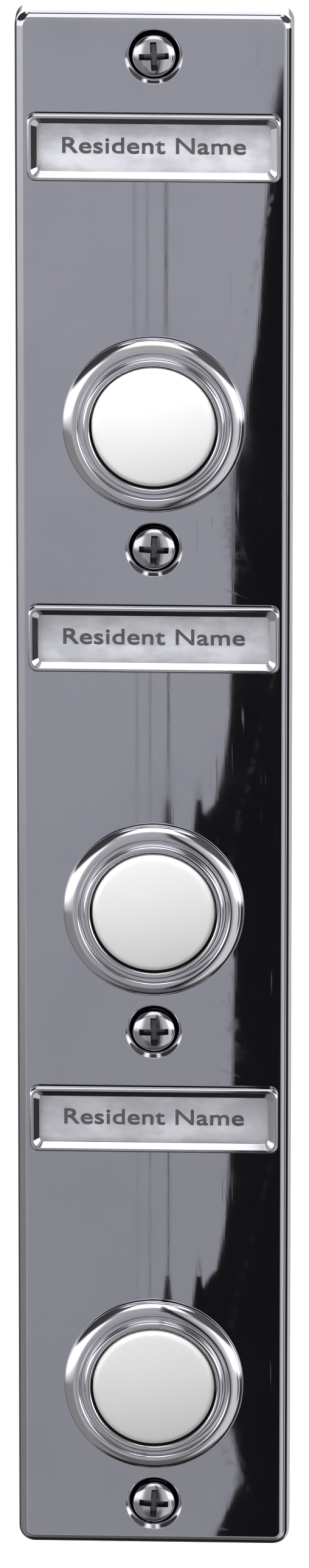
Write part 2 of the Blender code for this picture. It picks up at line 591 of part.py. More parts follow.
def make_terminal(bench, number, letter, side, axis):
    """Contact post with its rear tab, and the screw that clamps a wire on the tab."""
    at = (side * CONTACT_OFFSET, 0)
    drop = (0, -TERMINAL_DROP)
    post = [(0, POST_TOP), (POST_HEAD_RADIUS - GAP, POST_TOP), (POST_HEAD_RADIUS, POST_TOP - GAP),
            (POST_HEAD_RADIUS, POST_TOP - POST_HEAD), (POST_RADIUS, POST_TOP - POST_HEAD),
            (POST_RADIUS, TAB_TOP - TAB_THICKNESS / 2), (0, TAB_TOP - TAB_THICKNESS / 2)]
    terminal = bench.turned(f"terminal_{letter}_{number}", post, axis, "terminal_brass", at, SMALL_STEPS)
    tab = bmesh.new()
    tab_centre = (0, POST_RADIUS + GAP - TAB_HALF_LENGTH + TAB_THICKNESS)
    add_slab(tab, (TAB_HALF_WIDTH, TAB_HALF_LENGTH), TAB_BACK, TAB_TOP, TAB_THICKNESS, tab_centre)
    combine(terminal, bench.solid(f"terminal_{letter}_{number}_tab", tab, axis, at=at), "UNION")
    hole = bmesh.new()
    add_drum(hole, drop, TERMINAL_SHANK + GAP, TAB_BACK - THROUGH, TAB_TOP + THROUGH, steps=SMALL_STEPS)
    combine(terminal, bench.solid(f"terminal_{letter}_{number}_hole", hole, axis, at=at), "DIFFERENCE")

    tip = HOUSING_BACK + TERMINAL_BITE
    head_back = TERMINAL_HEAD_TOP - TERMINAL_HEAD_HEIGHT
    profile = [(0, tip), (TERMINAL_SHANK, tip), (TERMINAL_SHANK, TERMINAL_HEAD_TOP),
               (TERMINAL_HEAD, TERMINAL_HEAD_TOP), (TERMINAL_HEAD, head_back + GAP),
               (TERMINAL_HEAD - GAP, head_back), (0, head_back)]
    screw_at = (at[0], -TERMINAL_DROP)
    screw = bench.turned(f"terminal_screw_{letter}_{number}", profile, axis, "terminal_steel",
                         screw_at, SMALL_STEPS)
    slot = bmesh.new()
    add_slab(slot, (TERMINAL_HEAD + THROUGH, SLOT_WIDTH / 2), head_back - THROUGH, head_back + SLOT_DEPTH)
    combine(screw, bench.solid(f"terminal_{letter}_{number}_slot", slot, axis, at=screw_at), "DIFFERENCE")


def make_moving_switch(bench, number, axis):
    """Bridge that the stem carries, and the return spring under it."""
    leaf = bmesh.new()
    half = (CONTACT_OFFSET + CONTACT_RADIUS, BRIDGE_HALF_WIDTH)
    add_slab(leaf, half, BRIDGE_BACK, BRIDGE_TOP, BRIDGE_HALF_WIDTH * 0.9)
    bridge = bench.solid(f"contact_bridge_{number}", leaf, axis, "bridge_bronze")
    studs = bmesh.new()
    for side in (-1, 1):
        add_drum(studs, (side * CONTACT_OFFSET, 0), CONTACT_RADIUS * 0.8, BRIDGE_BACK - CONTACT_HEIGHT,
                 BRIDGE_BACK + BRIDGE_THICKNESS / 2, CONTACT_RADIUS, SMALL_STEPS)
    combine(bridge, bench.solid(f"bridge_{number}_studs", studs, axis), "UNION")

    high = BRIDGE_BACK - GAP - SPRING_WIRE
    low = CAVITY_FLOOR + GAP + SPRING_WIRE
    count = SPRING_TURNS * COIL_STEPS
    coil = []
    for i in range(count + 1):
        turn = 2 * math.pi * i / COIL_STEPS
        rise = low + (high - low) * i / count
        coil.append((SPRING_RADIUS * math.cos(turn), SPRING_RADIUS * math.sin(turn), rise))
    bench.tube(f"return_spring_{number}", coil, SPRING_WIRE, axis, "spring_steel")


def make_button(bench, number, row):
    """One push-button station round its press axis."""
    axis = bench.axis(f"press_axis_{number}", row, bench.stand)
    bench.turned(f"button_bezel_{number}", bezel_profile(), axis, "chrome_bezel")
    bench.turned(f"button_cap_{number}", cap_profile(), axis, "cap_white")
    make_nut(bench, number, axis)
    make_housing(bench, number, axis)
    make_lamp(bench, number, axis)
    make_moving_switch(bench, number, axis)
    make_terminal(bench, number, "a", -1, axis)
    make_terminal(bench, number, "b", 1, axis)


def smooth_route(points, steps):
    """Points along a smooth curve through the given ones, `steps` to a stretch."""
    padded = [points[0] * 2 - points[1], *points, points[-1] * 2 - points[-2]]
    route = []
    for before, first, second, after in zip(padded, padded[1:], padded[2:], padded[3:]):
        for i in range(steps):
            t = i / steps
            bend = (before * -1 + first * 3 - second * 3 + after) * t ** 3
            lean = (before * 2 - first * 5 + second * 4 - after) * t ** 2
            route.append((first * 2 + (second - before) * t + lean + bend) / 2)
    return [*route, points[-1]]


def make_bus_wire(bench, number):
    """Common wire from one station's first terminal to the next, bowed a little between them."""
    reach = TERMINAL_HEAD + GAP
    start = Vector((-CONTACT_OFFSET, BUTTON_ROWS[number - 1] - TERMINAL_DROP - reach, WIRE_HEIGHT))
    end = Vector((-CONTACT_OFFSET, BUTTON_ROWS[number] - TERMINAL_DROP + reach, WIRE_HEIGHT))
    leave = [(0, 0, 0), (0, -3.0, 0), (-0.1, -6.5, 0.1), (-0.5, -11.0, 1.6), (-1.1, -17.0, 4.2)]
    arrive = [(-1.2, 24.0, 4.4), (-0.6, 18.0, 1.8), (-0.1, 13.5, 0.1), (0, 7.0, 0), (0, 0, 0)]
    points = [start + Vector(step) * MM for step in leave] + [end + Vector(step) * MM for step in arrive]
    bench.tube(f"bus_wire_{number}", smooth_route(points, 2), WIRE_RADIUS, bench.stand, "wire_red")


def main():
    """Build the panel."""
    clear_scene()
    bench = Bench()
    make_front_cover(bench)
    make_rear_chassis(bench)
    for number, row in enumerate(SCREW_ROWS, 1):
        make_cover_screw(bench, number, row)
    for number in range(1, STATION_COUNT + 1):
        make_name_window(bench, number, NAME_ROWS[number - 1])
        make_button(bench, number, BUTTON_ROWS[number - 1])
    for number in range(1, STATION_COUNT):
        make_bus_wire(bench, number)


main()
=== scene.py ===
"""Looks of the door-entry call panel: every piece in fine detail, its finishes, and the studio.

Each piece is shaped on the bench, in millimetres: X to the visitor's right, Y up the panel and Z the
height above the wall plane. `Workpiece.finish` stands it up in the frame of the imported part.
"""
import logging
import math
from dataclasses import dataclass, field
from enum import Enum
from typing import Callable, Optional, Sequence

import bmesh
import bpy
from mathutils import Matrix, Vector


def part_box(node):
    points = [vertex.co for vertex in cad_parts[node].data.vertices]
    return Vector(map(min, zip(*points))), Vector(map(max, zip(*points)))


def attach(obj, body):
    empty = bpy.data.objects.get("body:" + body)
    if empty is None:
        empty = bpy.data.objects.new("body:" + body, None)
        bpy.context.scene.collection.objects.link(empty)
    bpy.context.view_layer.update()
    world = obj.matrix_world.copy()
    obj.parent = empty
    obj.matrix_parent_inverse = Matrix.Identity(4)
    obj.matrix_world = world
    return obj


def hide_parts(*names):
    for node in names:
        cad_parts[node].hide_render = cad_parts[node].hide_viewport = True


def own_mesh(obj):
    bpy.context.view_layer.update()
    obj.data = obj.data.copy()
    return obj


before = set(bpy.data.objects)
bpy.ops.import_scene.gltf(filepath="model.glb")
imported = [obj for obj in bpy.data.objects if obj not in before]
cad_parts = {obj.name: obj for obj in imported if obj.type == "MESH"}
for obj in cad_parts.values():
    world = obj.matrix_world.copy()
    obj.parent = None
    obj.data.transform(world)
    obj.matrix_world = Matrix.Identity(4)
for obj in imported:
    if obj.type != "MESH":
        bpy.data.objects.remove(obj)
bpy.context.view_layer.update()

LOG = logging.getLogger("call_panel")
MM = 0.001
STAND = Matrix.Rotation(math.pi / 2, 4, "X") @ Matrix.Scale(MM, 4)  # from the bench to the frame
PITCH = 68.6  # from station to station
GAP = 0.25  # clearance between neighbouring pieces
SEAM = 1e-4  # radians from the direction where counting round a loop starts
STATIONS = (1, 2, 3)
SCREWS = (1, 2, 3, 4)
PANEL = "panel"

Loop = list[bmesh.types.BMEdge]
Sockets = dict[str, bpy.types.NodeSocket]
Colour = tuple[float, float, float]
Point = tuple[float, float]
Route = tuple[tuple[float, float, float], ...]


class Axis(Enum):
    """Axis of the bench that a pattern of lines runs along."""

    ACROSS = (1.0, 0.02, 0.02)
    ALONG = (0.02, 1.0, 0.02)


class Hand(Enum):
    """Side of a station's axis: terminal A stands to its left and terminal B to its right."""

    A = -1
    B = 1


@dataclass(frozen=True)
class Extent:
    """Box of a CAD node on the bench, in millimetres."""

    half_width: float
    half_height: float
    row: float
    column: float
    back: float
    front: float

    @classmethod
    def of(cls, node: str) -> "Extent":
        """Measure a CAD node.

        Args:
            node: The node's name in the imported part.

        Returns:
            Its box on the bench.
        """
        low, high = (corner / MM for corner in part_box(node))
        return cls((high.x - low.x) / 2, (high.z - low.z) / 2, (high.z + low.z) / 2,
                   (high.x + low.x) / 2, -high.y, -low.y)


# ---------------------------------------------------------------- shaping


class Workpiece:
    """A mesh in the making on the bench."""

    def __init__(self, name: str) -> None:
        """Start an empty mesh for the named piece."""
        self.name = name
        self.bm = bmesh.new()

    def _round(self, verts: Sequence[bmesh.types.BMVert], setback: float, steps: int) -> None:
        """Round wire corners.

        Args:
            verts: Corners on a line of edges.
            setback: Distance from each corner to where its arc starts.
            steps: Edges in each arc.
        """
        bmesh.ops.bevel(self.bm, geom=list(verts), offset=setback, offset_type="OFFSET", segments=steps,
                        profile=0.5, affect="VERTICES", material=-1, clamp_overlap=False)

    def outline(self, half: Point, corner: float, height: float, centre: Point = (0, 0),
                steps: int = 6) -> Loop:
        """Add a rounded rectangle of edges.

        Args:
            half: Half width and half height.
            corner: Corner radius.
            height: Height above the wall plane.
            centre: Its middle on the bench.
            steps: Edges in each corner.

        Returns:
            Its edges.
        """
        known = set(self.bm.edges)
        signs = ((-1, -1), (1, -1), (1, 1), (-1, 1))
        verts = [self.bm.verts.new((centre[0] + x * half[0], centre[1] + y * half[1], height))
                 for x, y in signs]
        for i in range(4):
            self.bm.edges.new((verts[i - 1], verts[i]))
        self._round(verts, corner, steps)
        return [edge for edge in self.bm.edges if edge not in known]

    def circle(self, radius: float, height: float, centre: Point = (0, 0), steps: int = 64) -> Loop:
        """Add a circle of edges.

        Args:
            radius: Its radius.
            height: Height above the wall plane.
            centre: Its middle on the bench.
            steps: Number of edges.

        Returns:
            Its edges.
        """
        verts = bmesh.ops.create_circle(self.bm, cap_ends=False, radius=radius, segments=steps,
                                        matrix=Matrix.Translation((*centre, height)))["verts"]
        return list({edge for vert in verts for edge in vert.link_edges})

    @staticmethod
    def _in_turn(loop: Loop) -> list[bmesh.types.BMVert]:
        """Corners of a convex loop, in turn round its middle; the seam keeps rounding off the start."""
        verts = list({vert for edge in loop for vert in edge.verts})
        middle = sum((vert.co for vert in verts), Vector()) / len(verts)
        return sorted(verts, key=lambda vert: (
            math.atan2(*(vert.co - middle).yx) + math.pi + SEAM) % math.tau)

    def loft(self, loops: Sequence[Loop]) -> None:
        """Join each loop of edges to the next one with a band of faces."""
        rings = [self._in_turn(loop) for loop in loops]
        for first, second in zip(rings, rings[1:]):
            for i in range(len(first)):
                self.bm.faces.new((first[i - 1], first[i], second[i], second[i - 1]))

    def fill(self, *loops: Loop) -> None:
        """Fill a flat region; every loop after the outer one is a hole."""
        bmesh.ops.triangle_fill(self.bm, use_beauty=True, use_dissolve=False,
                                edges=[edge for loop in loops for edge in loop])

    def slab(self, half: Point, corner: float, back: float, front: float, edge: float) -> None:
        """Add a closed slab with rounded corners and edges.

        Args:
            half: Half width and half height.
            corner: Corner radius in plan.
            back: Lower height.
            front: Upper height.
            edge: Radius of its upper and lower edges.
        """
        sections = [(edge + 0.05, front), *rounded_side(edge, back, front, 5), (edge + 0.05, back)]
        loops = [self.outline((half[0] - inset, half[1] - inset), corner - inset, height)
                 for inset, height in sections]
        self.loft(loops)
        self.fill(loops[0])
        self.fill(loops[-1])

    def turn(self, profile: Sequence[tuple[float, ...]], centre: Point = (0, 0), steps: int = 96,
             closed: bool = False) -> None:
        """Turn a profile round an axis that stands on the bench.

        Args:
            profile: (radius, height) or (radius, height, setback of a rounded corner).
            centre: Where the axis stands.
            steps: Number of facets round the axis.
            closed: Whether the profile is a ring that doesn't touch the axis.
        """
        known = set(self.bm.verts)
        verts = [self.bm.verts.new((centre[0] + point[0], centre[1], point[1])) for point in profile]
        for first, second in zip(verts, verts[1:] + verts[:1] if closed else verts[1:]):
            self.bm.edges.new((first, second))
        for setback in sorted({point[2] for point in profile if len(point) > 2}):
            corners = [vert for vert, point in zip(verts, profile) if len(point) > 2 and point[2] == setback]
            self._round(corners, setback, steps=4)
        chain = [vert for vert in self.bm.verts if vert not in known]
        lines = list({edge for vert in chain for edge in vert.link_edges})
        bmesh.ops.spin(self.bm, geom=chain + lines, cent=(*centre, 0), axis=(0, 0, 1), angle=math.tau,
                       steps=steps, use_merge=True)
        made = [vert for vert in self.bm.verts if vert not in known]
        bmesh.ops.remove_doubles(self.bm, verts=made, dist=1e-3)

    def coil(self, section: Sequence[Point], turns: float, rise: float, steps: int = 24) -> None:
        """Wind a closed section into a helix with closed ends.

        Args:
            section: (radius, height) corners of the section at the helix's foot.
            turns: Number of turns.
            rise: Rise of the whole helix.
            steps: Facets in one turn.
        """
        verts = [self.bm.verts.new((radius, 0, height)) for radius, height in section]
        face = self.bm.faces.new(verts)
        count = round(turns * steps)
        wound = bmesh.ops.spin(self.bm, geom=list(face.edges) + verts, cent=(0, 0, 0), axis=(0, 0, 1),
                               dvec=(0, 0, rise / count), angle=math.tau * turns, steps=count)
        end = [item for item in wound["geom_last"] if isinstance(item, bmesh.types.BMEdge)]
        bmesh.ops.edgeloop_fill(self.bm, edges=end)

    def thread(self, core: float, crest: float, low: float, high: float, pitch: float,
               steps: int = 24) -> None:
        """Add a helical thread ridge between two heights.

        Args:
            core: Radius of the cylinder or bore that the ridge stands on.
            crest: Radius of its crest, inside or outside the core.
            low: Lower height.
            high: Upper height.
            pitch: Rise in one turn.
            steps: Facets in one turn.
        """
        root = core + (core - crest) * 0.3
        turns = math.floor((high - low) / pitch) - 1
        section = [(root, low), (crest, low + pitch * 0.4), (crest, low + pitch * 0.55),
                   (root, low + pitch * 0.95)]
        self.coil(section, turns, turns * pitch, steps=steps)

    def drum(self, radius: float, back: float, front: float, centre: Point = (0, 0), edge: float = 0.0,
             steps: int = 48) -> None:
        """Add a cylinder with an optional rounding at both ends."""
        corner = (edge,) if edge else ()
        self.turn([(0, front), (radius, front, *corner), (radius, back, *corner), (0, back)], centre, steps)

    def block(self, half: tuple[float, float, float], centre: tuple[float, float, float],
              turn: float = 0.0) -> None:
        """Add a box.

        Args:
            half: Half sizes.
            centre: Its middle.
            turn: Turn about the bench's Z axis, through the origin.
        """
        place = Matrix.Rotation(turn, 4, "Z") @ Matrix.Translation(centre) @ Matrix.Diagonal((*half, 1))
        bmesh.ops.create_cube(self.bm, size=2, matrix=place)

    def carve(self, cutter: "Workpiece", operation: str = "DIFFERENCE") -> None:
        """Apply an exact Boolean with another workpiece, which is used up."""
        objects = []
        for piece in (self, cutter):
            bmesh.ops.recalc_face_normals(piece.bm, faces=piece.bm.faces)
            mesh = bpy.data.meshes.new(piece.name + "_blank")
            piece.bm.to_mesh(mesh)
            objects.append(bpy.data.objects.new(mesh.name, mesh))
            bpy.context.scene.collection.objects.link(objects[-1])
        target, tool = objects
        cut = target.modifiers.new("cut", "BOOLEAN")
        cut.operation, cut.solver, cut.object = operation, "EXACT", tool
        result = bpy.data.meshes.new_from_object(
            target.evaluated_get(bpy.context.evaluated_depsgraph_get()))
        self.bm.clear()
        self.bm.from_mesh(result)
        cutter.bm.free()
        for obj in objects:
            mesh = obj.data
            bpy.data.objects.remove(obj)
            bpy.data.meshes.remove(mesh)
        bpy.data.meshes.remove(result)

    def join(self, mesh: bpy.types.Mesh) -> None:
        """Add a finished mesh, which is used up."""
        self.bm.from_mesh(mesh)
        bpy.data.meshes.remove(mesh)
        bmesh.ops.remove_doubles(self.bm, verts=self.bm.verts, dist=1e-5)

    def thicken(self, amount: float) -> None:
        """Move the upright walls outwards.

        Args:
            amount: How far.
        """
        bmesh.ops.recalc_face_normals(self.bm, faces=self.bm.faces)
        ways = []
        for vert in self.bm.verts:
            walls = (face.normal for face in vert.link_faces if abs(face.normal.z) < 0.5)
            ways.append(sum(walls, Vector()))
        for vert, way in zip(self.bm.verts, ways):
            vert.co += way.normalized() * amount

    def paint(self, index: int, wanted: Callable[[Vector], bool]) -> None:
        """Give the faces whose middles pass the test another material slot."""
        for face in self.bm.faces:
            if wanted(face.calc_center_median()):
                face.material_index = index

    def finish(self, materials: Sequence[bpy.types.Material], row: float = 0.0, column: float = 0.0,
               body: str = PANEL, replaces: Optional[str] = None,
               crease: float = 38.0) -> bpy.types.Object:
        """Stand the piece up, dress it and let it ride on its body.

        Args:
            materials: Finishes, in the order of the faces' material slots.
            row: Where its axis stands up the panel.
            column: Where its axis stands across the panel.
            body: CAD body that it rides on.
            replaces: CAD node that it stands for.
            crease: Angle in degrees past which an edge is sharp.

        Returns:
            The finished object.
        """
        bm = self.bm
        bmesh.ops.dissolve_degenerate(bm, dist=1e-4, edges=bm.edges)
        bmesh.ops.recalc_face_normals(bm, faces=bm.faces)
        for face in bm.faces:
            face.smooth = True
        for edge in bm.edges:
            edge.smooth = edge.calc_face_angle(0.0) < math.radians(crease)
        bmesh.ops.transform(bm, matrix=STAND @ Matrix.Translation((column, row, 0)), verts=bm.verts)
        mesh = bpy.data.meshes.new(self.name)
        bm.to_mesh(mesh)
        bm.free()
        for material in materials:
            mesh.materials.append(material)
        obj = bpy.data.objects.new(self.name, mesh)
        bpy.context.scene.collection.objects.link(obj)
        even = obj.modifiers.new("flat faces stay flat", "WEIGHTED_NORMAL")
        even.keep_sharp = True
        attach(obj, body)
        if replaces:
            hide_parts(replaces)
        LOG.info("%s: %d faces", self.name, len(mesh.polygons))
        return obj


def quarter(radius: float, height: float, up: bool, steps: int) -> list[Point]:
    """Sections of a rounded edge, between a flat face and the side.

    Args:
        radius: Radius of the edge.
        height: Height of the flat face.
        up: True from a face at the top down to the side, False from the side down to a face at the back.
        steps: Number of stretches.

    Returns:
        (inset, height) pairs, from the top down.
    """
    sign = -1 if up else 1
    angles = [i * math.pi / 2 / steps for i in range(steps + 1)]
    made = [(radius * (1 - math.sin(a)), height + sign * radius * (1 - math.cos(a))) for a in angles]
    return made if up else made[::-1]


def rounded_side(edge: float, back: float, front: float, steps: int) -> list[Point]:
    """Sections of a slab's side with both edges rounded: (inset, height) pairs, from the top down."""
    return quarter(edge, front, up=True, steps=steps) + quarter(edge, back, up=False, steps=steps)


def dome_profile(start: float, reach: float, foot: float, rise: float, steps: int) -> list[Point]:
    """Profile of a dome from its top to its foot.

    Args:
        start: Radius of its top.
        reach: How far it grows outwards.
        foot: Height of its foot.
        rise: Rise from the foot to the top.
        steps: Number of stretches.

    Returns:
        (radius, height) pairs.
    """
    angles = [i * math.pi / 2 / steps for i in range(steps + 1)]
    return [(start + reach * math.sin(a), foot + rise * math.cos(a)) for a in angles]


def wire_mesh(points: Sequence[Vector], radius: float, sides: int = 4) -> bpy.types.Mesh:
    """Mesh of a round wire along points on the bench.

    Args:
        points: The line that it follows.
        radius: Its radius.
        sides: Bevel resolution of the section.

    Returns:
        A closed tube.
    """
    curve = bpy.data.curves.new("wire_line", "CURVE")
    curve.dimensions = "3D"
    curve.bevel_depth = radius
    curve.bevel_resolution = sides
    curve.use_fill_caps = True
    spline = curve.splines.new("POLY")
    spline.points.add(len(points) - 1)
    for place, point in zip(spline.points, points):
        place.co = (*point, 1)
    holder = bpy.data.objects.new("wire_line", curve)
    mesh = bpy.data.meshes.new_from_object(holder)
    bpy.data.objects.remove(holder)
    bpy.data.curves.remove(curve)
    return mesh


# ---------------------------------------------------------------- shader groups and finishes


class Graph:
    """Nodes of one material, world or group, with short calls to add and link them."""

    def __init__(self, tree: bpy.types.NodeTree) -> None:
        """Wrap a node tree."""
        self.tree = tree

    def add(self, kind: str, inputs: Optional[dict] = None, **settings: object) -> bpy.types.Node:
        """Add a node.

        Args:
            kind: The node's type without "ShaderNode".
            inputs: Values or output sockets by input name or number.
            settings: Properties of the node.

        Returns:
            The node.
        """
        node = self.tree.nodes.new("ShaderNode" + kind)
        for name, value in settings.items():
            setattr(node, name, value)
        for key, value in (inputs or {}).items():
            if isinstance(value, bpy.types.NodeSocket):
                self.tree.links.new(value, node.inputs[key])
            else:
                node.inputs[key].default_value = value
        return node

    def maths(self, operation: str, first: object, second: object = 0.0) -> bpy.types.NodeSocket:
        """Add a Math node and return its result."""
        return self.add("Math", {0: first, 1: second}, operation=operation).outputs[0]

    def span(self, value: object, low: float, high: float, to_low: float = 0.0,
             to_high: float = 1.0) -> bpy.types.NodeSocket:
        """Add a smooth Map Range node and return its result."""
        return self.add("MapRange", {0: value, 1: low, 2: high, 3: to_low, 4: to_high},
                        interpolation_type="SMOOTHSTEP").outputs[0]

    def noise(self, vector: object, scale: float, detail: float = 3.0,
              rough: float = 0.55) -> bpy.types.NodeSocket:
        """Add a Noise Texture node and return its factor."""
        return self.add("TexNoise", {"Vector": vector, "Scale": scale, "Detail": detail,
                                     "Roughness": rough}).outputs["Fac"]

    def blend(self, factor: object, first: object, second: object) -> bpy.types.NodeSocket:
        """Add a colour Mix node and return its result."""
        return self.add("Mix", {"Factor": factor, 6: first, 7: second}, data_type="RGBA").outputs[2]

    def radius(self, across: object, up: object) -> bpy.types.NodeSocket:
        """Distance from the nearest station's axis, for an offset from one of the axes."""
        row = self.add("Math", {0: up, 1: PITCH * MM / 2, 2: -PITCH * MM / 2}, operation="WRAP").outputs[0]
        squares = (self.maths("MULTIPLY", part, part) for part in (across, row))
        return self.maths("SQRT", self.maths("ADD", *squares))


def rgba(colour: Colour) -> tuple[float, float, float, float]:
    """Colour with full opacity."""
    return (*colour, 1.0)


class EffectShelf:
    """Shader node groups that several finishes share, each built once."""

    def __init__(self) -> None:
        """Build all the groups."""
        place = {"Vector": "NodeSocketVector"}
        self.draw_lines = self._group("draw_lines", place, self._draw_lines)
        self.hairlines = self._group("hairlines", place, self._hairlines)
        self.smudges = self._group("smudges", place, self._smudges)
        self.turned_rings = self._group("turned_rings", place, self._turned_rings)
        self.edge_wear = self._group("edge_wear", {**place, "Amount": "NodeSocketFloat"}, self._edge_wear)
        self.grain = self._group("moulded_grain", place, self._grain)
        self.dust = self._group("settled_dust", place, self._dust)

    def _group(self, name: str, inputs: dict[str, str],
               build: Callable[[Graph, bpy.types.Node], Sockets]) -> bpy.types.NodeTree:
        """Build a node group.

        Args:
            name: The group's name.
            inputs: Socket types by input name.
            build: Adds the nodes and returns the output sockets by name.

        Returns:
            The group.
        """
        tree = bpy.data.node_groups.new(name, "ShaderNodeTree")
        for label, kind in inputs.items():
            tree.interface.new_socket(name=label, in_out="INPUT", socket_type=kind)
        entry = tree.nodes.new("NodeGroupInput")
        made = build(Graph(tree), entry)
        for label in made:
            tree.interface.new_socket(name=label, in_out="OUTPUT", socket_type="NodeSocketFloat")
        leave = tree.nodes.new("NodeGroupOutput")
        for label, socket in made.items():
            tree.links.new(socket, leave.inputs[label])
        return tree

    @staticmethod
    def _draw_lines(graph: Graph, entry: bpy.types.Node) -> Sockets:
        """Long parallel lines of drawn or rolled metal; the caller stretches the vector."""
        fine = graph.noise(entry.outputs[0], 9000.0, 2.0)
        broad = graph.noise(entry.outputs[0], 900.0, 2.0)
        return {"Height": graph.maths("ADD", graph.maths("MULTIPLY", fine, 0.35), broad),
                "Mask": graph.span(fine, 0.58, 0.72)}

    @staticmethod
    def _hairlines(graph: Graph, entry: bpy.types.Node) -> Sockets:
        """Sparse wiping scratches in two directions."""
        masks = []
        for turn, scale in ((0.45, 2600.0), (-0.9, 1900.0)):
            leaned = graph.add("Mapping", {"Vector": entry.outputs[0], "Rotation": (0.0, turn, 0.0),
                                           "Scale": (1.0, 1.0, 0.03)}).outputs[0]
            line = graph.noise(leaned, scale, 1.0)
            patch = graph.noise(entry.outputs[0], 160.0, 1.0)
            masks.append(graph.maths("MULTIPLY", graph.span(line, 0.70, 0.76), graph.span(patch, 0.5, 0.65)))
        return {"Mask": graph.maths("MAXIMUM", masks[0], masks[1])}

    @staticmethod
    def _smudges(graph: Graph, entry: bpy.types.Node) -> Sockets:
        """Soft cloudy marks of handling."""
        cloud = graph.noise(entry.outputs[0], 55.0, 4.0, 0.6)
        return {"Mask": graph.span(cloud, 0.45, 0.72)}

    @staticmethod
    def _turned_rings(graph: Graph, entry: bpy.types.Node) -> Sockets:
        """Fine rings of the lathe round the axis at the vector's origin, repeated at each station."""
        parts = graph.add("SeparateXYZ", {0: entry.outputs[0]}).outputs
        across = graph.add("CombineXYZ", {0: graph.radius(parts[0], parts[2]), 1: parts[1]}).outputs[0]
        return {"Height": graph.noise(across, 7000.0, 2.0),
                "Mask": graph.span(graph.noise(across, 1800.0), 0.4, 0.7)}

    @staticmethod
    def _edge_wear(graph: Graph, entry: bpy.types.Node) -> Sockets:
        """Worn convex edges, broken up by noise."""
        edge = graph.span(graph.add("NewGeometry").outputs["Pointiness"], 0.52, 0.62)
        patch = graph.span(graph.noise(entry.outputs[0], 700.0), 0.35, 0.65)
        return {"Mask": graph.maths("MULTIPLY", graph.maths("MULTIPLY", edge, patch), entry.outputs[1])}

    @staticmethod
    def _grain(graph: Graph, entry: bpy.types.Node) -> Sockets:
        """Spark-eroded texture of a moulding tool."""
        cells = graph.add("TexVoronoi", {"Vector": entry.outputs[0], "Scale": 5200.0}).outputs["Distance"]
        soft = graph.noise(entry.outputs[0], 2600.0, 3.0)
        return {"Height": graph.maths("ADD", cells, soft),
                "Tone": graph.noise(entry.outputs[0], 90.0, 4.0)}

    @staticmethod
    def _dust(graph: Graph, entry: bpy.types.Node) -> Sockets:
        """Dust that lies on faces turned upwards."""
        normal = graph.add("SeparateXYZ", {0: graph.add("NewGeometry").outputs["Normal"]}).outputs[2]
        lying = graph.span(normal, 0.35, 0.95)
        patch = graph.span(graph.noise(entry.outputs[0], 1500.0, 4.0), 0.45, 0.7)
        return {"Mask": graph.maths("MULTIPLY", lying, patch)}


class Finish:
    """What every finish shares: a material with one Principled shader and the piece's own coordinates."""

    name: str

    def start(self) -> tuple[bpy.types.Material, Graph, bpy.types.Node, bpy.types.NodeSocket]:
        """Make the material.

        Returns:
            The material, its graph, its shader and its Object coordinates.
        """
        material = bpy.data.materials.new(self.name)
        material.use_nodes = True
        graph = Graph(material.node_tree)
        shader = material.node_tree.nodes["Principled BSDF"]
        place = graph.add("TexCoord").outputs["Object"]
        return material, graph, shader, place

    @staticmethod
    def effect(graph: Graph, tree: bpy.types.NodeTree, vector: bpy.types.NodeSocket,
               amount: Optional[float] = None) -> bpy.types.Node:
        """Place a shared group in a material.

        Args:
            graph: The material's graph.
            tree: The group.
            vector: Coordinates for it.
            amount: Value for its Amount input, if it has one.

        Returns:
            The group node.
        """
        node = graph.tree.nodes.new("ShaderNodeGroup")
        node.node_tree = tree
        graph.tree.links.new(vector, node.inputs[0])
        if amount is not None:
            node.inputs["Amount"].default_value = amount
        return node

    @staticmethod
    def bump(graph: Graph, shader: bpy.types.Node, height: bpy.types.NodeSocket, distance: float,
             strength: float) -> None:
        """Feed a height, with its real depth in metres, to the shader's normal."""
        node = graph.add("Bump", {"Height": height, "Distance": distance, "Strength": strength})
        graph.tree.links.new(node.outputs[0], shader.inputs["Normal"])

    @staticmethod
    def feed(graph: Graph, shader: bpy.types.Node, **sockets: bpy.types.NodeSocket) -> None:
        """Link sockets to the shader's inputs, with _ for each space in a name."""
        for name, socket in sockets.items():
            graph.tree.links.new(socket, shader.inputs[name.replace("_", " ")])


@dataclass(frozen=True)
class Plating(Finish):
    """Polished plate: draw lines, wiping hairlines, smudges and slightly worn edges."""

    name: str
    colour: Colour
    deep: Colour
    roughness: float = 0.02
    smudge: float = 0.035
    wave: float = 0.0000005
    lines: Axis = Axis.ACROSS
    wear: float = 0.35

    def build(self, shelf: EffectShelf) -> bpy.types.Material:
        """Make the material from the shared groups."""
        material, graph, shader, place = self.start()
        stretch = (self.lines.value[0], self.lines.value[2], self.lines.value[1])
        streaked = graph.add("Mapping", {"Vector": place, "Scale": stretch}).outputs[0]
        lines = self.effect(graph, shelf.draw_lines, streaked).outputs
        hair = self.effect(graph, shelf.hairlines, place).outputs["Mask"]
        cloud = self.effect(graph, shelf.smudges, place).outputs["Mask"]
        worn = self.effect(graph, shelf.edge_wear, place, self.wear).outputs["Mask"]
        tone = graph.blend(graph.maths("MULTIPLY", cloud, 0.55), rgba(self.colour), rgba(self.deep))
        tone = graph.blend(graph.maths("MULTIPLY", lines["Mask"], 0.25), tone, rgba(self.deep))
        rough = graph.maths("ADD", graph.maths("MULTIPLY", cloud, self.smudge), self.roughness)
        rough = graph.maths("ADD", rough, graph.maths("MULTIPLY", graph.maths("MAXIMUM", hair, worn), 0.12))
        self.feed(graph, shader, Base_Color=tone, Roughness=rough)
        shader.inputs["Metallic"].default_value = 1.0
        self.bump(graph, shader, lines["Height"], self.wave, 1.0)
        return material


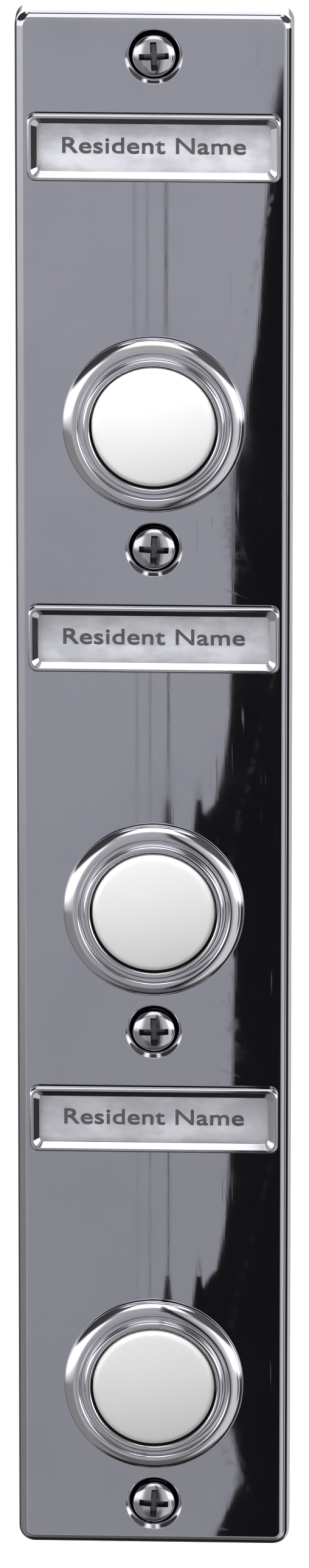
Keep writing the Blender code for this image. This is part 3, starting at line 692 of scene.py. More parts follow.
@dataclass(frozen=True)
class TurnedMetal(Finish):
    """Metal from the lathe, with fine rings round each station's axis."""

    name: str
    colour: Colour
    deep: Colour
    centre: float
    roughness: float = 0.08
    ring_depth: float = 0.0000006
    wear: float = 0.4

    def build(self, shelf: EffectShelf) -> bpy.types.Material:
        """Make the material from the shared groups."""
        material, graph, shader, place = self.start()
        centred = graph.add("Mapping", {"Vector": place, "Location": (0.0, 0.0, -self.centre * MM)})
        rings = self.effect(graph, shelf.turned_rings, centred.outputs[0]).outputs
        cloud = self.effect(graph, shelf.smudges, place).outputs["Mask"]
        worn = self.effect(graph, shelf.edge_wear, place, self.wear).outputs["Mask"]
        tone = graph.blend(graph.maths("MULTIPLY", rings["Mask"], 0.3), rgba(self.colour), rgba(self.deep))
        tone = graph.blend(graph.maths("MULTIPLY", cloud, 0.3), tone, rgba(self.deep))
        rough = graph.maths("ADD", graph.maths("MULTIPLY", cloud, 0.07), self.roughness)
        rough = graph.maths("ADD", rough, graph.maths("MULTIPLY", worn, 0.15))
        self.feed(graph, shader, Base_Color=tone, Roughness=rough)
        shader.inputs["Metallic"].default_value = 1.0
        self.bump(graph, shader, rings["Height"], self.ring_depth, 1.0)
        return material


@dataclass(frozen=True)
class Moulding(Finish):
    """Moulded plastic or rubber with tool grain, tone variation and some dust."""

    name: str
    colour: Colour
    deep: Colour
    roughness: float
    grain_depth: float = 0.000006
    dust: float = 0.12
    glow: float = 0.0

    def build(self, shelf: EffectShelf) -> bpy.types.Material:
        """Make the material from the shared groups."""
        material, graph, shader, place = self.start()
        grain = self.effect(graph, shelf.grain, place).outputs
        dust = graph.maths("MULTIPLY", self.effect(graph, shelf.dust, place).outputs["Mask"], self.dust)
        worn = self.effect(graph, shelf.edge_wear, place, 0.5).outputs["Mask"]
        tone = graph.blend(graph.span(grain["Tone"], 0.35, 0.7), rgba(self.colour), rgba(self.deep))
        tone = graph.blend(dust, tone, (0.45, 0.43, 0.40, 1.0))
        rough = graph.span(grain["Tone"], 0.3, 0.7, self.roughness - 0.05, self.roughness + 0.06)
        rough = graph.maths("ADD", rough, graph.maths("SUBTRACT", dust, graph.maths("MULTIPLY", worn, 0.12)))
        self.feed(graph, shader, Base_Color=tone, Roughness=rough)
        if self.glow:
            shader.inputs["Subsurface Weight"].default_value = self.glow
            shader.inputs["Subsurface Radius"].default_value = (1.0, 0.9, 0.8)
            shader.inputs["Subsurface Scale"].default_value = 0.0006
        self.bump(graph, shader, grain["Height"], self.grain_depth, 0.6)
        return material


@dataclass(frozen=True)
class OpalCap(Finish):
    """Translucent white push cap with a painted glow, strongest where the lamp stands behind it."""

    name: str = "opal_cap"
    colour: Colour = (0.89, 0.89, 0.895)
    rubbed: Colour = (0.84, 0.84, 0.85)
    lamp_row: float = 0.0
    # Strength of the painted glow: an emission that stands in for the lamp's light through the cap.
    glow: float = 0.03

    def build(self, shelf: EffectShelf) -> bpy.types.Material:
        """Make the material from the shared groups."""
        material, graph, shader, place = self.start()
        cloud = self.effect(graph, shelf.smudges, place).outputs["Mask"]
        hair = self.effect(graph, shelf.hairlines, place).outputs["Mask"]
        dust = self.effect(graph, shelf.dust, place).outputs["Mask"]
        tone = graph.blend(graph.maths("MULTIPLY", cloud, 0.3), rgba(self.colour), rgba(self.rubbed))
        tone = graph.blend(graph.maths("MULTIPLY", dust, 0.06), tone, (0.55, 0.53, 0.5, 1.0))
        rough = graph.maths("ADD", graph.maths("MULTIPLY", cloud, 0.06), 0.28)
        rough = graph.maths("ADD", rough, graph.maths("MULTIPLY", hair, 0.2))
        parts = graph.add("SeparateXYZ", {0: place}).outputs
        radius = graph.radius(parts[0], graph.maths("SUBTRACT", parts[2], self.lamp_row * MM))
        # Painted glow: the emission colour is bright over the lamp and dim further out.
        painted_lamp_glow = graph.blend(graph.span(radius, 0.001, 0.012), (1.0, 0.99, 0.96, 1.0), (0.35, 0.35, 0.36, 1.0))
        self.feed(graph, shader, Base_Color=tone, Roughness=rough, Emission_Color=painted_lamp_glow)
        shader.inputs["Emission Strength"].default_value = self.glow
        shader.inputs["Subsurface Weight"].default_value = 0.35
        shader.inputs["Subsurface Radius"].default_value = (1.0, 0.95, 0.9)
        shader.inputs["Subsurface Scale"].default_value = 0.0012
        shader.inputs["Coat Weight"].default_value = 0.25
        shader.inputs["Coat Roughness"].default_value = 0.12
        self.bump(graph, shader, graph.noise(place, 420.0, 2.0), 0.00001, 0.5)
        return material


@dataclass(frozen=True)
class SilverCard(Finish):
    """Silver-white card with paper fibre and a mottled metallic ground."""

    name: str = "silver_card"
    colour: Colour = (0.43, 0.43, 0.46)
    bright: Colour = (0.58, 0.58, 0.61)

    def build(self, shelf: EffectShelf) -> bpy.types.Material:
        """Make the material from the shared groups."""
        material, graph, shader, place = self.start()
        mottle = graph.noise(graph.add("Mapping", {"Vector": place, "Scale": (0.6, 1.0, 1.0)}).outputs[0],
                             330.0, 4.0, 0.6)
        fibre = graph.noise(graph.add("Mapping", {"Vector": place, "Scale": (1.0, 1.0, 3.0)}).outputs[0],
                            5200.0, 3.0)
        smudge = self.effect(graph, shelf.smudges, place).outputs["Mask"]
        tone = graph.blend(graph.span(mottle, 0.38, 0.66), rgba(self.colour), rgba(self.bright))
        tone = graph.blend(graph.maths("MULTIPLY", smudge, 0.25), tone, (0.46, 0.46, 0.50, 1.0))
        rough = graph.span(fibre, 0.3, 0.7, 0.38, 0.52)
        self.feed(graph, shader, Base_Color=tone, Roughness=rough)
        shader.inputs["Metallic"].default_value = 0.25
        self.bump(graph, shader, fibre, 0.000004, 0.6)
        return material


@dataclass(frozen=True)
class PrintedInk(Finish):
    """Dark printing ink that takes unevenly on the card."""

    name: str = "printed_ink"
    colour: Colour = (0.012, 0.012, 0.016)
    thin: Colour = (0.05, 0.05, 0.06)

    def build(self, shelf: EffectShelf) -> bpy.types.Material:
        """Make the material from the shared groups."""
        material, graph, shader, place = self.start()
        grain = self.effect(graph, shelf.grain, place).outputs
        taken = graph.span(graph.noise(place, 2100.0, 3.0), 0.45, 0.75)
        tone = graph.blend(taken, rgba(self.colour), rgba(self.thin))
        self.feed(graph, shader, Base_Color=tone, Roughness=graph.span(grain["Tone"], 0.3, 0.7, 0.5, 0.65))
        self.bump(graph, shader, grain["Height"], 0.000002, 0.5)
        return material


@dataclass(frozen=True)
class ClearPlastic(Finish):
    """Clear plastic of the window strip or the lamp's lens."""

    name: str
    colour: Colour
    clearness: float = 1.0
    roughness: float = 0.03
    glow: Optional[Colour] = None

    def build(self, shelf: EffectShelf) -> bpy.types.Material:
        """Make the material from the shared groups."""
        material, graph, shader, place = self.start()
        cloud = self.effect(graph, shelf.smudges, place).outputs["Mask"]
        hair = self.effect(graph, shelf.hairlines, place).outputs["Mask"]
        rough = graph.maths("ADD", graph.maths("MULTIPLY", cloud, 0.02), self.roughness)
        rough = graph.maths("ADD", rough, graph.maths("MULTIPLY", hair, 0.08))
        tone = graph.blend(graph.maths("MULTIPLY", cloud, 0.1), rgba(self.colour), (0.9, 0.9, 0.88, 1.0))
        self.feed(graph, shader, Base_Color=tone, Roughness=rough)
        shader.inputs["IOR"].default_value = 1.49
        shader.inputs["Transmission Weight"].default_value = self.clearness
        if self.glow:
            shader.inputs["Emission Color"].default_value = rgba(self.glow)
            shader.inputs["Emission Strength"].default_value = 0.3
        return material


class Finishes:
    """Every finish of the panel, made once from the shared groups."""

    def __init__(self, button_row: float, screw_row: float) -> None:
        """Make the materials.

        Args:
            button_row: Row of one button's axis.
            screw_row: Row of one cover screw.
        """
        shelf = EffectShelf()
        steel, dark_steel = (0.56, 0.57, 0.60), (0.44, 0.45, 0.48)
        brass, dark_brass = (0.78, 0.60, 0.28), (0.62, 0.44, 0.18)
        self.cover = Plating("cover_chrome", (0.60, 0.60, 0.655), (0.54, 0.54, 0.60)).build(shelf)
        self.frame = Plating("frame_chrome", (0.66, 0.66, 0.70), (0.58, 0.58, 0.63),
                             roughness=0.07).build(shelf)
        self.bezel = TurnedMetal("bezel_chrome", (0.74, 0.74, 0.78), (0.66, 0.66, 0.71),
                                 button_row).build(shelf)
        self.screw = TurnedMetal("screw_chrome", (0.62, 0.62, 0.66), (0.50, 0.50, 0.54), screw_row,
                                 roughness=0.12, wear=0.9).build(shelf)
        # Near-black finish for the screws' cross recesses: painted shade that stands in for the shadow inside each
        # recess.
        self.recess = TurnedMetal("recess_painted_shade", (0.17, 0.17, 0.18), (0.08, 0.08, 0.085), screw_row,
                                  roughness=0.34, wear=0.9).build(shelf)
        # Matt black for the bezel's bore wall: painted shade that stands in for the shadowed gap round the cap.
        self.bore_shade = Moulding("bore_painted_shade", (0.010, 0.010, 0.011), (0.016, 0.016, 0.017), 0.55,
                                 grain_depth=0.000003, dust=0.03).build(shelf)
        self.cap = OpalCap(lamp_row=button_row + 1.5).build(shelf)
        self.card = SilverCard().build(shelf)
        self.ink = PrintedInk().build(shelf)
        self.lens = ClearPlastic("window_acrylic", (0.985, 0.99, 1.0)).build(shelf)
        self.clip = Plating("clip_spring_steel", steel, dark_steel, roughness=0.22, smudge=0.12).build(shelf)
        self.chassis = Moulding("carrier_black", (0.022, 0.022, 0.023), (0.032, 0.032, 0.034),
                                0.50).build(shelf)
        self.seal = Moulding("gasket_rubber", (0.016, 0.016, 0.016), (0.026, 0.026, 0.026), 0.78,
                             grain_depth=0.00001, dust=0.2).build(shelf)
        self.nut = TurnedMetal("turned_brass", brass, dark_brass, button_row, roughness=0.2,
                               ring_depth=0.000002).build(shelf)
        self.housing = Moulding("cup_ivory", (0.78, 0.73, 0.61), (0.70, 0.65, 0.53), 0.42,
                                grain_depth=0.000004, dust=0.1, glow=0.12).build(shelf)
        self.spring = Plating("spring_wire", (0.62, 0.63, 0.65), dark_steel, roughness=0.16, smudge=0.1,
                              lines=Axis.ALONG).build(shelf)
        self.bronze = Plating("rolled_bronze", (0.74, 0.45, 0.25), (0.60, 0.34, 0.18), roughness=0.2,
                              smudge=0.12).build(shelf)
        self.silver = Plating("contact_silver", (0.86, 0.85, 0.82), (0.70, 0.69, 0.66), roughness=0.24,
                              smudge=0.1).build(shelf)
        self.brass = Plating("stamped_brass", brass, dark_brass, roughness=0.18, smudge=0.14,
                             lines=Axis.ALONG).build(shelf)
        self.zinc = Plating("zinc_plate", (0.70, 0.71, 0.70), (0.60, 0.62, 0.66), roughness=0.22,
                            smudge=0.14).build(shelf)
        self.tin = Plating("tinned_lead", (0.72, 0.72, 0.71), (0.58, 0.58, 0.58), roughness=0.2, smudge=0.1,
                           lines=Axis.ALONG).build(shelf)
        self.lamp = ClearPlastic("lamp_lens", (1.0, 0.88, 0.66), clearness=0.6, roughness=0.14,
                                 glow=(1.0, 0.82, 0.5)).build(shelf)
        self.wire = Moulding("wire_insulation", (0.55, 0.035, 0.028), (0.42, 0.022, 0.018), 0.36,
                             grain_depth=0.0000015, dust=0.15).build(shelf)
        self.copper = Plating("bare_copper", (0.86, 0.45, 0.27), (0.62, 0.28, 0.15), roughness=0.2,
                              smudge=0.14, lines=Axis.ALONG).build(shelf)


# ---------------------------------------------------------------- sub-assemblies


@dataclass
class CoverPlate:
    """Pressed cover with rounded edges, name openings, button bores and countersunk screw bosses."""

    sheet: float = 1.2
    corner: float = 2.2
    edge: float = 1.3
    foot: float = 0.15
    opening_ledge: float = 0.25
    opening_corner: float = 1.2
    bore: float = 10.15
    dimple: float = 3.7
    dimple_lip: float = 0.2
    screw_hole: float = 1.75
    boss: float = 4.1
    boss_back: float = 1.95

    def build(self, finishes: Finishes) -> None:
        """Make the cover."""
        box = Extent.of("front_cover")
        work = Workpiece("cover_plate")
        half, top = (box.half_width, box.half_height), box.front
        inner = top - self.sheet

        def ring(inset: float, height: float) -> Loop:
            """Outline of the tray, inset from its side."""
            return work.outline((half[0] - inset, half[1] - inset), self.corner - inset, height, steps=10)

        outer = [(self.edge + 0.06, top), *quarter(self.edge, top, up=True, steps=10)]
        foot = quarter(self.foot, 0, up=False, steps=3)
        rim = [(self.sheet - self.foot, 0), (self.sheet, self.foot), (self.sheet, inner - 0.1),
               (self.edge, inner)]
        loops = [ring(inset, height) for inset, height in outer + foot + rim]
        work.loft(loops)
        front, back = [loops[0]], [loops[-1]]
        cut_edge = ((0.18, top), (0.12, top), (0.035, top - 0.035), (0, top - 0.12), (0, inner))
        for number in STATIONS:
            name = Extent.of(f"name_frame_{number}")
            opening = (name.half_width - self.opening_ledge, name.half_height - self.opening_ledge)
            cut = [work.outline((opening[0] + grow, opening[1] + grow), self.opening_corner + grow, height,
                                (0, name.row)) for grow, height in cut_edge]
            work.loft(cut)
            front.append(cut[0])
            back.append(cut[-1])
            row = Extent.of(f"button_bezel_{number}").row
            bore = [work.circle(self.bore + grow, height, (0, row)) for grow, height in cut_edge]
            work.loft(bore)
            front.append(bore[0])
            back.append(bore[-1])
        lip = self.dimple_lip
        slope = self.dimple - self.screw_hole
        section = [(self.dimple + lip * 0.71 + 0.06, top)]
        section += [(self.dimple + lip * 0.41 * (1 - math.sin(a) / 0.7071) + lip * 0.3,
                    top - lip * (1 - math.cos(a))) for a in (i * math.pi / 4 / 5 for i in range(6))]
        section += [(self.screw_hole, top - slope), (self.screw_hole, self.boss_back + 0.1),
                    (self.screw_hole + 0.1, self.boss_back), (self.boss - 0.2, self.boss_back),
                    (self.boss, self.boss_back + 0.2), (self.boss, inner)]
        for number in SCREWS:
            row = Extent.of(f"cover_screw_{number}").row
            sink = [work.circle(radius, height, (0, row)) for radius, height in section]
            work.loft(sink)
            front.append(sink[0])
            back.append(sink[-1])
        work.fill(*front)
        work.fill(*back)
        work.finish([finishes.cover], replaces="front_cover")


@dataclass
class Carrier:
    """Moulded rear chassis with its cored-out pockets, and the twin-lip seal in its groove."""

    corner: float = 1.0
    edge: float = 0.2
    web: float = 0.85
    groove: float = 2.0
    groove_depth: float = 1.0
    pocket_floor: float = 2.25
    pocket_corner: float = 1.2
    nut_recess: float = 1.6
    nut_radius: float = 12.15
    bore: float = 10.15
    screw_hole: float = 1.75
    boss_recess: float = 4.35
    boss_floor: float = 1.7
    core_half: Point = (5.2, 12.5)
    core_corner: float = 1.4
    core_depth: float = 0.8
    core_offset: float = 6.6
    core_above_screw: float = -19.9

    def build(self, finishes: Finishes) -> None:
        """Make the chassis and the seal."""
        box = Extent.of("rear_chassis")
        work = Workpiece("chassis_moulding")
        half, top = (box.half_width, box.half_height), box.front

        def ring(inset: float, height: float, corner: Optional[float] = None) -> Loop:
            """Outline of the chassis, inset from its side."""
            return work.outline((half[0] - inset, half[1] - inset),
                                self.corner - inset if corner is None else corner, height)

        side = [ring(inset, height) for inset, height in rounded_side(self.edge, 0, top, 3)]
        work.loft(side)
        lip, inner = 0.12, self.web + self.groove
        channel = [ring(self.web - lip, 0, self.corner), ring(self.web, lip, self.corner),
                   ring(self.web, self.groove_depth, self.corner), ring(inner, self.groove_depth, 0.25),
                   ring(inner, lip, 0.25), ring(inner + lip, 0, 0.25)]
        work.loft(channel)
        work.fill(side[-1], channel[0])
        front, back = [side[0]], [channel[-1]]
        pocket_wall = ((0, top), (0, self.pocket_floor + 0.2), (0.2, self.pocket_floor))
        for number in STATIONS:
            name = Extent.of(f"name_frame_{number}")
            opening = (name.half_width - GAP, name.half_height - GAP)
            pocket = [work.outline((opening[0] - inset, opening[1] - inset), self.pocket_corner, height,
                                   (0, name.row)) for inset, height in pocket_wall]
            work.loft(pocket)
            work.fill(pocket[-1])
            front.append(pocket[0])
            row = Extent.of(f"button_bezel_{number}").row
            bore = [work.circle(radius, height, (0, row)) for radius, height in (
                (self.nut_radius + lip, 0), (self.nut_radius, lip), (self.nut_radius, self.nut_recess),
                (self.bore, self.nut_recess), (self.bore, top - lip), (self.bore + lip, top))]
            work.loft(bore)
            back.append(bore[0])
            front.append(bore[-1])
        rows = [Extent.of(f"cover_screw_{number}").row for number in SCREWS]
        for row in rows:
            hole = [work.circle(radius, height, (0, row), 48) for radius, height in (
                (self.screw_hole + lip, 0), (self.screw_hole, lip), (self.screw_hole, self.boss_floor),
                (self.boss_recess, self.boss_floor), (self.boss_recess, top))]
            work.loft(hole)
            back.append(hole[0])
            front.append(hole[-1])
        core_wall = ((-lip, 0), (0, lip), (0.1, self.core_depth - 0.2), (0.3, self.core_depth))
        for row in rows[:-1]:
            for hand in Hand:
                centre = (hand.value * self.core_offset, row + self.core_above_screw)
                core = [work.outline((self.core_half[0] - inset, self.core_half[1] - inset),
                                     self.core_corner - inset, height, centre) for inset, height in core_wall]
                work.loft(core)
                work.fill(core[-1])
                back.append(core[0])
        work.fill(*front)
        work.fill(*back)
        work.finish([finishes.chassis], replaces="rear_chassis")
        self._seal(finishes)

    def _seal(self, finishes: Finishes) -> None:
        """Make the seal, with two lips towards the wall."""
        box = Extent.of("wall_seal")
        work = Workpiece("wall_seal_ring")
        width, top = self.groove - 2 * GAP, box.front
        section = [(0, 0.3), (0.12, 0.06), (0.25, 0), (0.42, 0.06), (0.58, 0.26), (0.75, 0.3), (0.92, 0.26),
                   (1.08, 0.06), (1.25, 0), (1.38, 0.06), (width, 0.3), (width, top - 0.12),
                   (width - 0.12, top), (0.12, top), (0, top - 0.12)]
        loops = [work.outline((box.half_width - inset, box.half_height - inset), max(1.0 - inset, 0.1),
                              height) for inset, height in section]
        work.loft(loops + loops[:1])
        work.finish([finishes.seal], replaces="wall_seal")


@dataclass
class CoverScrew:
    """Raised countersunk screw with a cross recess and a rolled thread."""

    number: int
    turn: float
    dome: float = 0.65
    shank: float = 1.5
    core: float = 1.2
    pitch: float = 0.5
    recess_reach: float = 2.35
    recess_half: float = 0.5
    recess_depth: float = 1.1
    taper: float = 0.6
    slack: float = 0.05
    skin: float = 0.07

    def build(self, finishes: Finishes) -> None:
        """Make the screw."""
        box = Extent.of(f"cover_screw_{self.number}")
        work = Workpiece(f"panel_screw_{self.number}")
        radius = box.half_width
        rim = box.front - self.dome
        under = rim - (radius - self.shank)
        arch = dome_profile(0, radius, rim, self.dome, 14)[1:-1]
        neck = [(radius, rim, 0.07), (self.shank, under, 0.15), (self.shank, under - 1.2, 0.1),
                (self.core, under - 1.5), (self.core, box.back + 0.5), (self.core - 0.35, box.back),
                (0, box.back)]
        work.turn([(0, box.front), *arch, *neck], steps=72)
        work.carve(self._cross(box.front))
        # The recess' walls and floor take the second slot: painted shade in the recess.
        work.paint(1, lambda middle: self._recessed(middle, radius, rim))
        work.thread(self.core, self.shank, box.back + 0.45, under - 1.3, self.pitch)
        work.finish([finishes.screw, finishes.recess], box.row,
                    replaces=f"cover_screw_{self.number}", crease=50)

    def _recessed(self, middle: Vector, radius: float, rim: float) -> bool:
        """Whether a face is inside the cross recess.

        Args:
            middle: Middle of the face.
            radius: Radius of the head.
            rim: Height of the head's rim.

        Returns:
            True for the recess' walls and floor.
        """
        across, top = middle.xy.length, rim + self.dome
        if across > self.recess_reach + self.slack or middle.z < top - self.recess_depth - self.slack:
            return False
        return middle.z < rim + self.dome * math.sqrt(1 - (across / radius) ** 2) - self.skin

    def _cross(self, top: float) -> Workpiece:
        """Make the tapered cross that cuts the recess.

        Args:
            top: Height of the head's highest point.

        Returns:
            The cutter.
        """
        cutter = Workpiece("cross_cutter")
        half, floor, above = self.recess_half, top - self.recess_depth, top + 0.4
        cutter.block((half, half, (above - floor) / 2), (0, 0, (above + floor) / 2))
        cutter.bm.normal_update()
        arms = [face for face in cutter.bm.faces if abs(face.normal.z) < 0.5]
        for face in bmesh.ops.extrude_discrete_faces(cutter.bm, faces=arms)["faces"]:
            bmesh.ops.translate(cutter.bm, vec=face.normal * (self.recess_reach - half), verts=face.verts)
        bmesh.ops.remove_doubles(cutter.bm, verts=cutter.bm.verts, dist=1e-4)
        low = [vert for vert in cutter.bm.verts if vert.co.z < (above + floor) / 2]
        bmesh.ops.scale(cutter.bm, vec=(self.taper, self.taper, 1), verts=low)
        bmesh.ops.rotate(cutter.bm, cent=(0, 0, 0), matrix=Matrix.Rotation(self.turn, 3, "Z"),
                         verts=cutter.bm.verts)
        return cutter


@dataclass
class NameWindow:
    """Bead frame, clear strip, printed card and the leaf behind it."""

    number: int
    words: str = "Resident Name"
    collar: float = 0.35
    lip: float = 0.5
    corner: float = 1.2
    bead: float = 0.3
    slope_start: float = 0.5
    slope_drop: float = 0.4
    lip_back: float = 4.95
    flange_back: float = 4.75
    text_width: float = 24.3
    text_weight: float = 0.07
    text_height: float = 2.15
    text_relief: float = 4.0
    slot_half: Point = (7.875, 1.2)

    def build(self, finishes: Finishes) -> None:
        """Make the four pieces and the printing."""
        self._frame(finishes)
        self._strip("name_lens", "window_strip", 0.12, [finishes.lens]).visible_shadow = False
        self._strip("name_card", "printed_card", 0.04, [finishes.card])
        self._print(finishes)
        self._clip(finishes)

    def _frame(self, finishes: Finishes) -> None:
        """Make the frame as one ring: bead, window lip, rebate and collar."""
        box = Extent.of(f"name_frame_{self.number}")
        work = Workpiece(f"window_frame_{self.number}")
        outer = (box.half_width, box.half_height)
        collar = 2 * GAP
        rebate = collar + self.collar
        window = rebate + self.lip
        bead = quarter(self.bead, box.front, up=True, steps=8)
        rows = [(0.08, self.flange_back, self.corner), (0, self.flange_back + 0.08, self.corner)]
        rows += [(inset, height, self.corner) for inset, height in bead[::-1]]
        run = window - self.slope_start
        for share in (0, 0.06, 0.12, 0.9, 0.95, 1):
            ease = self.slope_drop * 0.015 if share in (0.06, 0.95) else 0
            drop = self.slope_drop * share + (ease if share < 0.5 else -ease)
            rows.append((self.slope_start + run * share, box.front - drop, self.corner - 0.6 * share))
        rows += [(window, self.lip_back, 0.6), (rebate, self.lip_back, 0.6), (rebate, box.back + 0.1, 0.6),
                 (rebate - 0.1, box.back, 0.7), (collar + 0.1, box.back, 1.0), (collar, box.back + 0.1, 1.1),
                 (collar, self.flange_back, 1.1)]
        loops = [work.outline((outer[0] - inset, outer[1] - inset), corner, height, steps=8)
                 for inset, height, corner in rows]
        work.loft(loops + loops[:1])
        work.finish([finishes.frame], box.row, replaces=f"name_frame_{self.number}")

    def _strip(self, node: str, name: str, edge: float, materials: Sequence[bpy.types.Material]) -> bpy.types.Object:
        """Make a flat strip that fits the rebate.

        Args:
            node: CAD node's name without its number.
            name: Piece's name without its number.
            edge: Radius of its edges.
            materials: Its finish.

        Returns:
            The finished strip.
        """
        box = Extent.of(f"{node}_{self.number}")
        work = Workpiece(f"{name}_{self.number}")
        work.slab((box.half_width, box.half_height), 0.6, box.back, box.front, edge)
        return work.finish(materials, box.row, replaces=f"{node}_{self.number}")

    def _print(self, finishes: Finishes) -> None:
        """Print the placeholder words on the card."""
        box = Extent.of(f"name_card_{self.number}")
        line = bpy.data.curves.new("words", "FONT")
        line.body = self.words
        line.align_x = line.align_y = "CENTER"
        line.extrude = 0.004
        line.space_character = 1.04
        holder = bpy.data.objects.new("words", line)
        bpy.context.scene.collection.objects.link(holder)
        bpy.context.view_layer.update()
        mesh = bpy.data.meshes.new_from_object(holder.evaluated_get(bpy.context.evaluated_depsgraph_get()))
        bpy.data.objects.remove(holder)
        bpy.data.curves.remove(line)
        work = Workpiece(f"card_print_{self.number}")
        work.join(mesh)
        low = Vector((min(v.co.x for v in work.bm.verts), min(v.co.y for v in work.bm.verts), 0))
        high = Vector((max(v.co.x for v in work.bm.verts), max(v.co.y for v in work.bm.verts), 0))
        size = high - low
        scale = Matrix.Diagonal((self.text_width / size.x, self.text_height / size.y, self.text_relief, 1))
        place = Matrix.Translation((0, 0, box.front + 0.02)) @ scale @ Matrix.Translation(-(low + high) / 2)
        bmesh.ops.transform(work.bm, matrix=place, verts=work.bm.verts)
        work.thicken(self.text_weight)
        work.finish([finishes.ink], box.row, crease=30)

    def _clip(self, finishes: Finishes) -> None:
        """Make the slotted leaf."""
        box = Extent.of(f"card_clip_{self.number}")
        work = Workpiece(f"clip_leaf_{self.number}")
        stamped = rounded_side(0.1, box.back, box.front, 3)
        side = [work.outline((box.half_width - inset, box.half_height - inset), 0.6 - inset, height)
                for inset, height in stamped]
        slot = [work.outline((self.slot_half[0] + inset, self.slot_half[1] + inset), 0.98 * self.slot_half[1],
                             height) for inset, height in stamped]
        work.loft(side)
        work.loft(slot)
        work.fill(side[0], slot[0])
        work.fill(side[-1], slot[-1])
        work.finish([finishes.clip], box.row, replaces=f"card_clip_{self.number}")


@dataclass
class PushButton:
    """Stepped bezel, opal cap and the ring nut behind the chassis."""

    number: int
    cap_radius: float = 8.3
    bore: float = 8.6
    collar: float = 9.5
    groove: float = 10.1
    barrel: float = 9.9
    thread_core: float = 9.55
    counterbore: float = 9.2
    shoulder: float = 0.5
    cover_front: float = 4.5
    groove_floor: float = 5.3
    ring_top: float = 5.95
    pitch: float = 0.75
    nut_bore: float = 10.15
    cap_shoulder: float = 0.8
    cap_dome: float = 0.5
    cap_wall: float = 1.2
    cap_roof: float = 1.0
    stop_height: float = 1.0
    stem: float = 1.9
    notch_half: tuple[float, float, float] = (0.875, 1.2, 1.0)

    def build(self, finishes: Finishes) -> None:
        """Make the three pieces."""
        self._bezel(finishes)
        self._cap(finishes)
        self._nut(finishes)

    def _bezel(self, finishes: Finishes) -> None:
        """Make the bezel with its threaded barrel."""
        box = Extent.of(f"button_bezel_{self.number}")
        work = Workpiece(f"bezel_ring_{self.number}")
        foot = self.cover_front + GAP
        start = self.groove + 0.35
        drop = self.ring_top - foot - GAP
        ring = dome_profile(start, box.half_width - start, foot + GAP, drop, 20)
        work.turn([
            (self.bore, box.front, 0.22), (self.collar, box.front, 0.3),
            (self.collar, self.groove_floor, 0.1), (self.groove, self.groove_floor, 0.1),
            (self.groove, self.ring_top, 0.28), *ring,
            (box.half_width, foot, 0.06), (self.thread_core, foot), (self.thread_core, box.back, 0.15),
            (self.counterbore, box.back, 0.05), (self.counterbore, self.shoulder),
            (self.bore, self.shoulder, 0.05)], steps=128, closed=True)
        work.thread(self.thread_core, self.barrel, box.back + 0.1, foot - 0.3, self.pitch, steps=64)
        # The bore wall takes the second slot: painted shade in the gap round the cap.
        work.paint(1, lambda middle: middle.xy.length < self.bore + 0.03)
        work.finish([finishes.bezel, finishes.bore_shade], box.row,
                    replaces=f"button_bezel_{self.number}")

    def _cap(self, finishes: Finishes) -> None:
        """Make the domed cap with its skirt, stop lip and stem."""
        box = Extent.of(f"button_cap_{self.number}")
        work = Workpiece(f"push_cap_{self.number}")
        flat, edge = self.cap_radius - self.cap_shoulder, box.front - self.cap_dome
        lean = math.atan(2 * self.cap_dome / flat)
        top = [(flat * i / 16, edge + self.cap_dome * (1 - (i / 16) ** 2)) for i in range(16)]
        side = [(flat + self.cap_shoulder * (math.sin(a) - math.sin(lean)) / (1 - math.sin(lean)),
                 edge - self.cap_shoulder * (math.cos(lean) - math.cos(a)))
                for a in (lean + i * (math.pi / 2 - lean) / 10 for i in range(11))]
        inside, roof = self.cap_radius - self.cap_wall, edge - self.cap_roof
        stop, stop_radius = self.shoulder - GAP, self.counterbore - GAP
        foot = stop - self.stop_height
        work.turn([*top, *side, (self.cap_radius, stop, 0.1), (stop_radius, stop, 0.12),
                   (stop_radius, foot, 0.12), (inside, foot, 0.15), (inside, roof, 0.5),
                   (self.stem, roof, 0.4), (self.stem, box.back, 0.25), (0, box.back)], steps=128)
        work.finish([finishes.cap], box.row, body=f"button_{self.number}",
                    replaces=f"button_cap_{self.number}")

    def _nut(self, finishes: Finishes) -> None:
        """Make the ring nut with four spanner notches and its inner thread."""
        box = Extent.of(f"retaining_nut_{self.number}")
        work = Workpiece(f"ring_nut_{self.number}")
        radius, bore = box.half_width, self.nut_bore + 0.3
        work.turn([(bore, box.front, 0.12), (radius, box.front, 0.25), (radius, box.back, 0.25),
                   (bore, box.back, 0.12)], steps=96, closed=True)
        cutter = Workpiece("notch_cutter")
        for step in range(4):
            cutter.block(self.notch_half, (radius, 0, box.back), step * math.pi / 2 + math.pi / 4)
        work.carve(cutter)
        work.thread(bore, self.nut_bore, box.back - 0.2, box.front + 0.5, self.pitch, steps=64)
        work.finish([finishes.nut], box.row, replaces=f"retaining_nut_{self.number}")


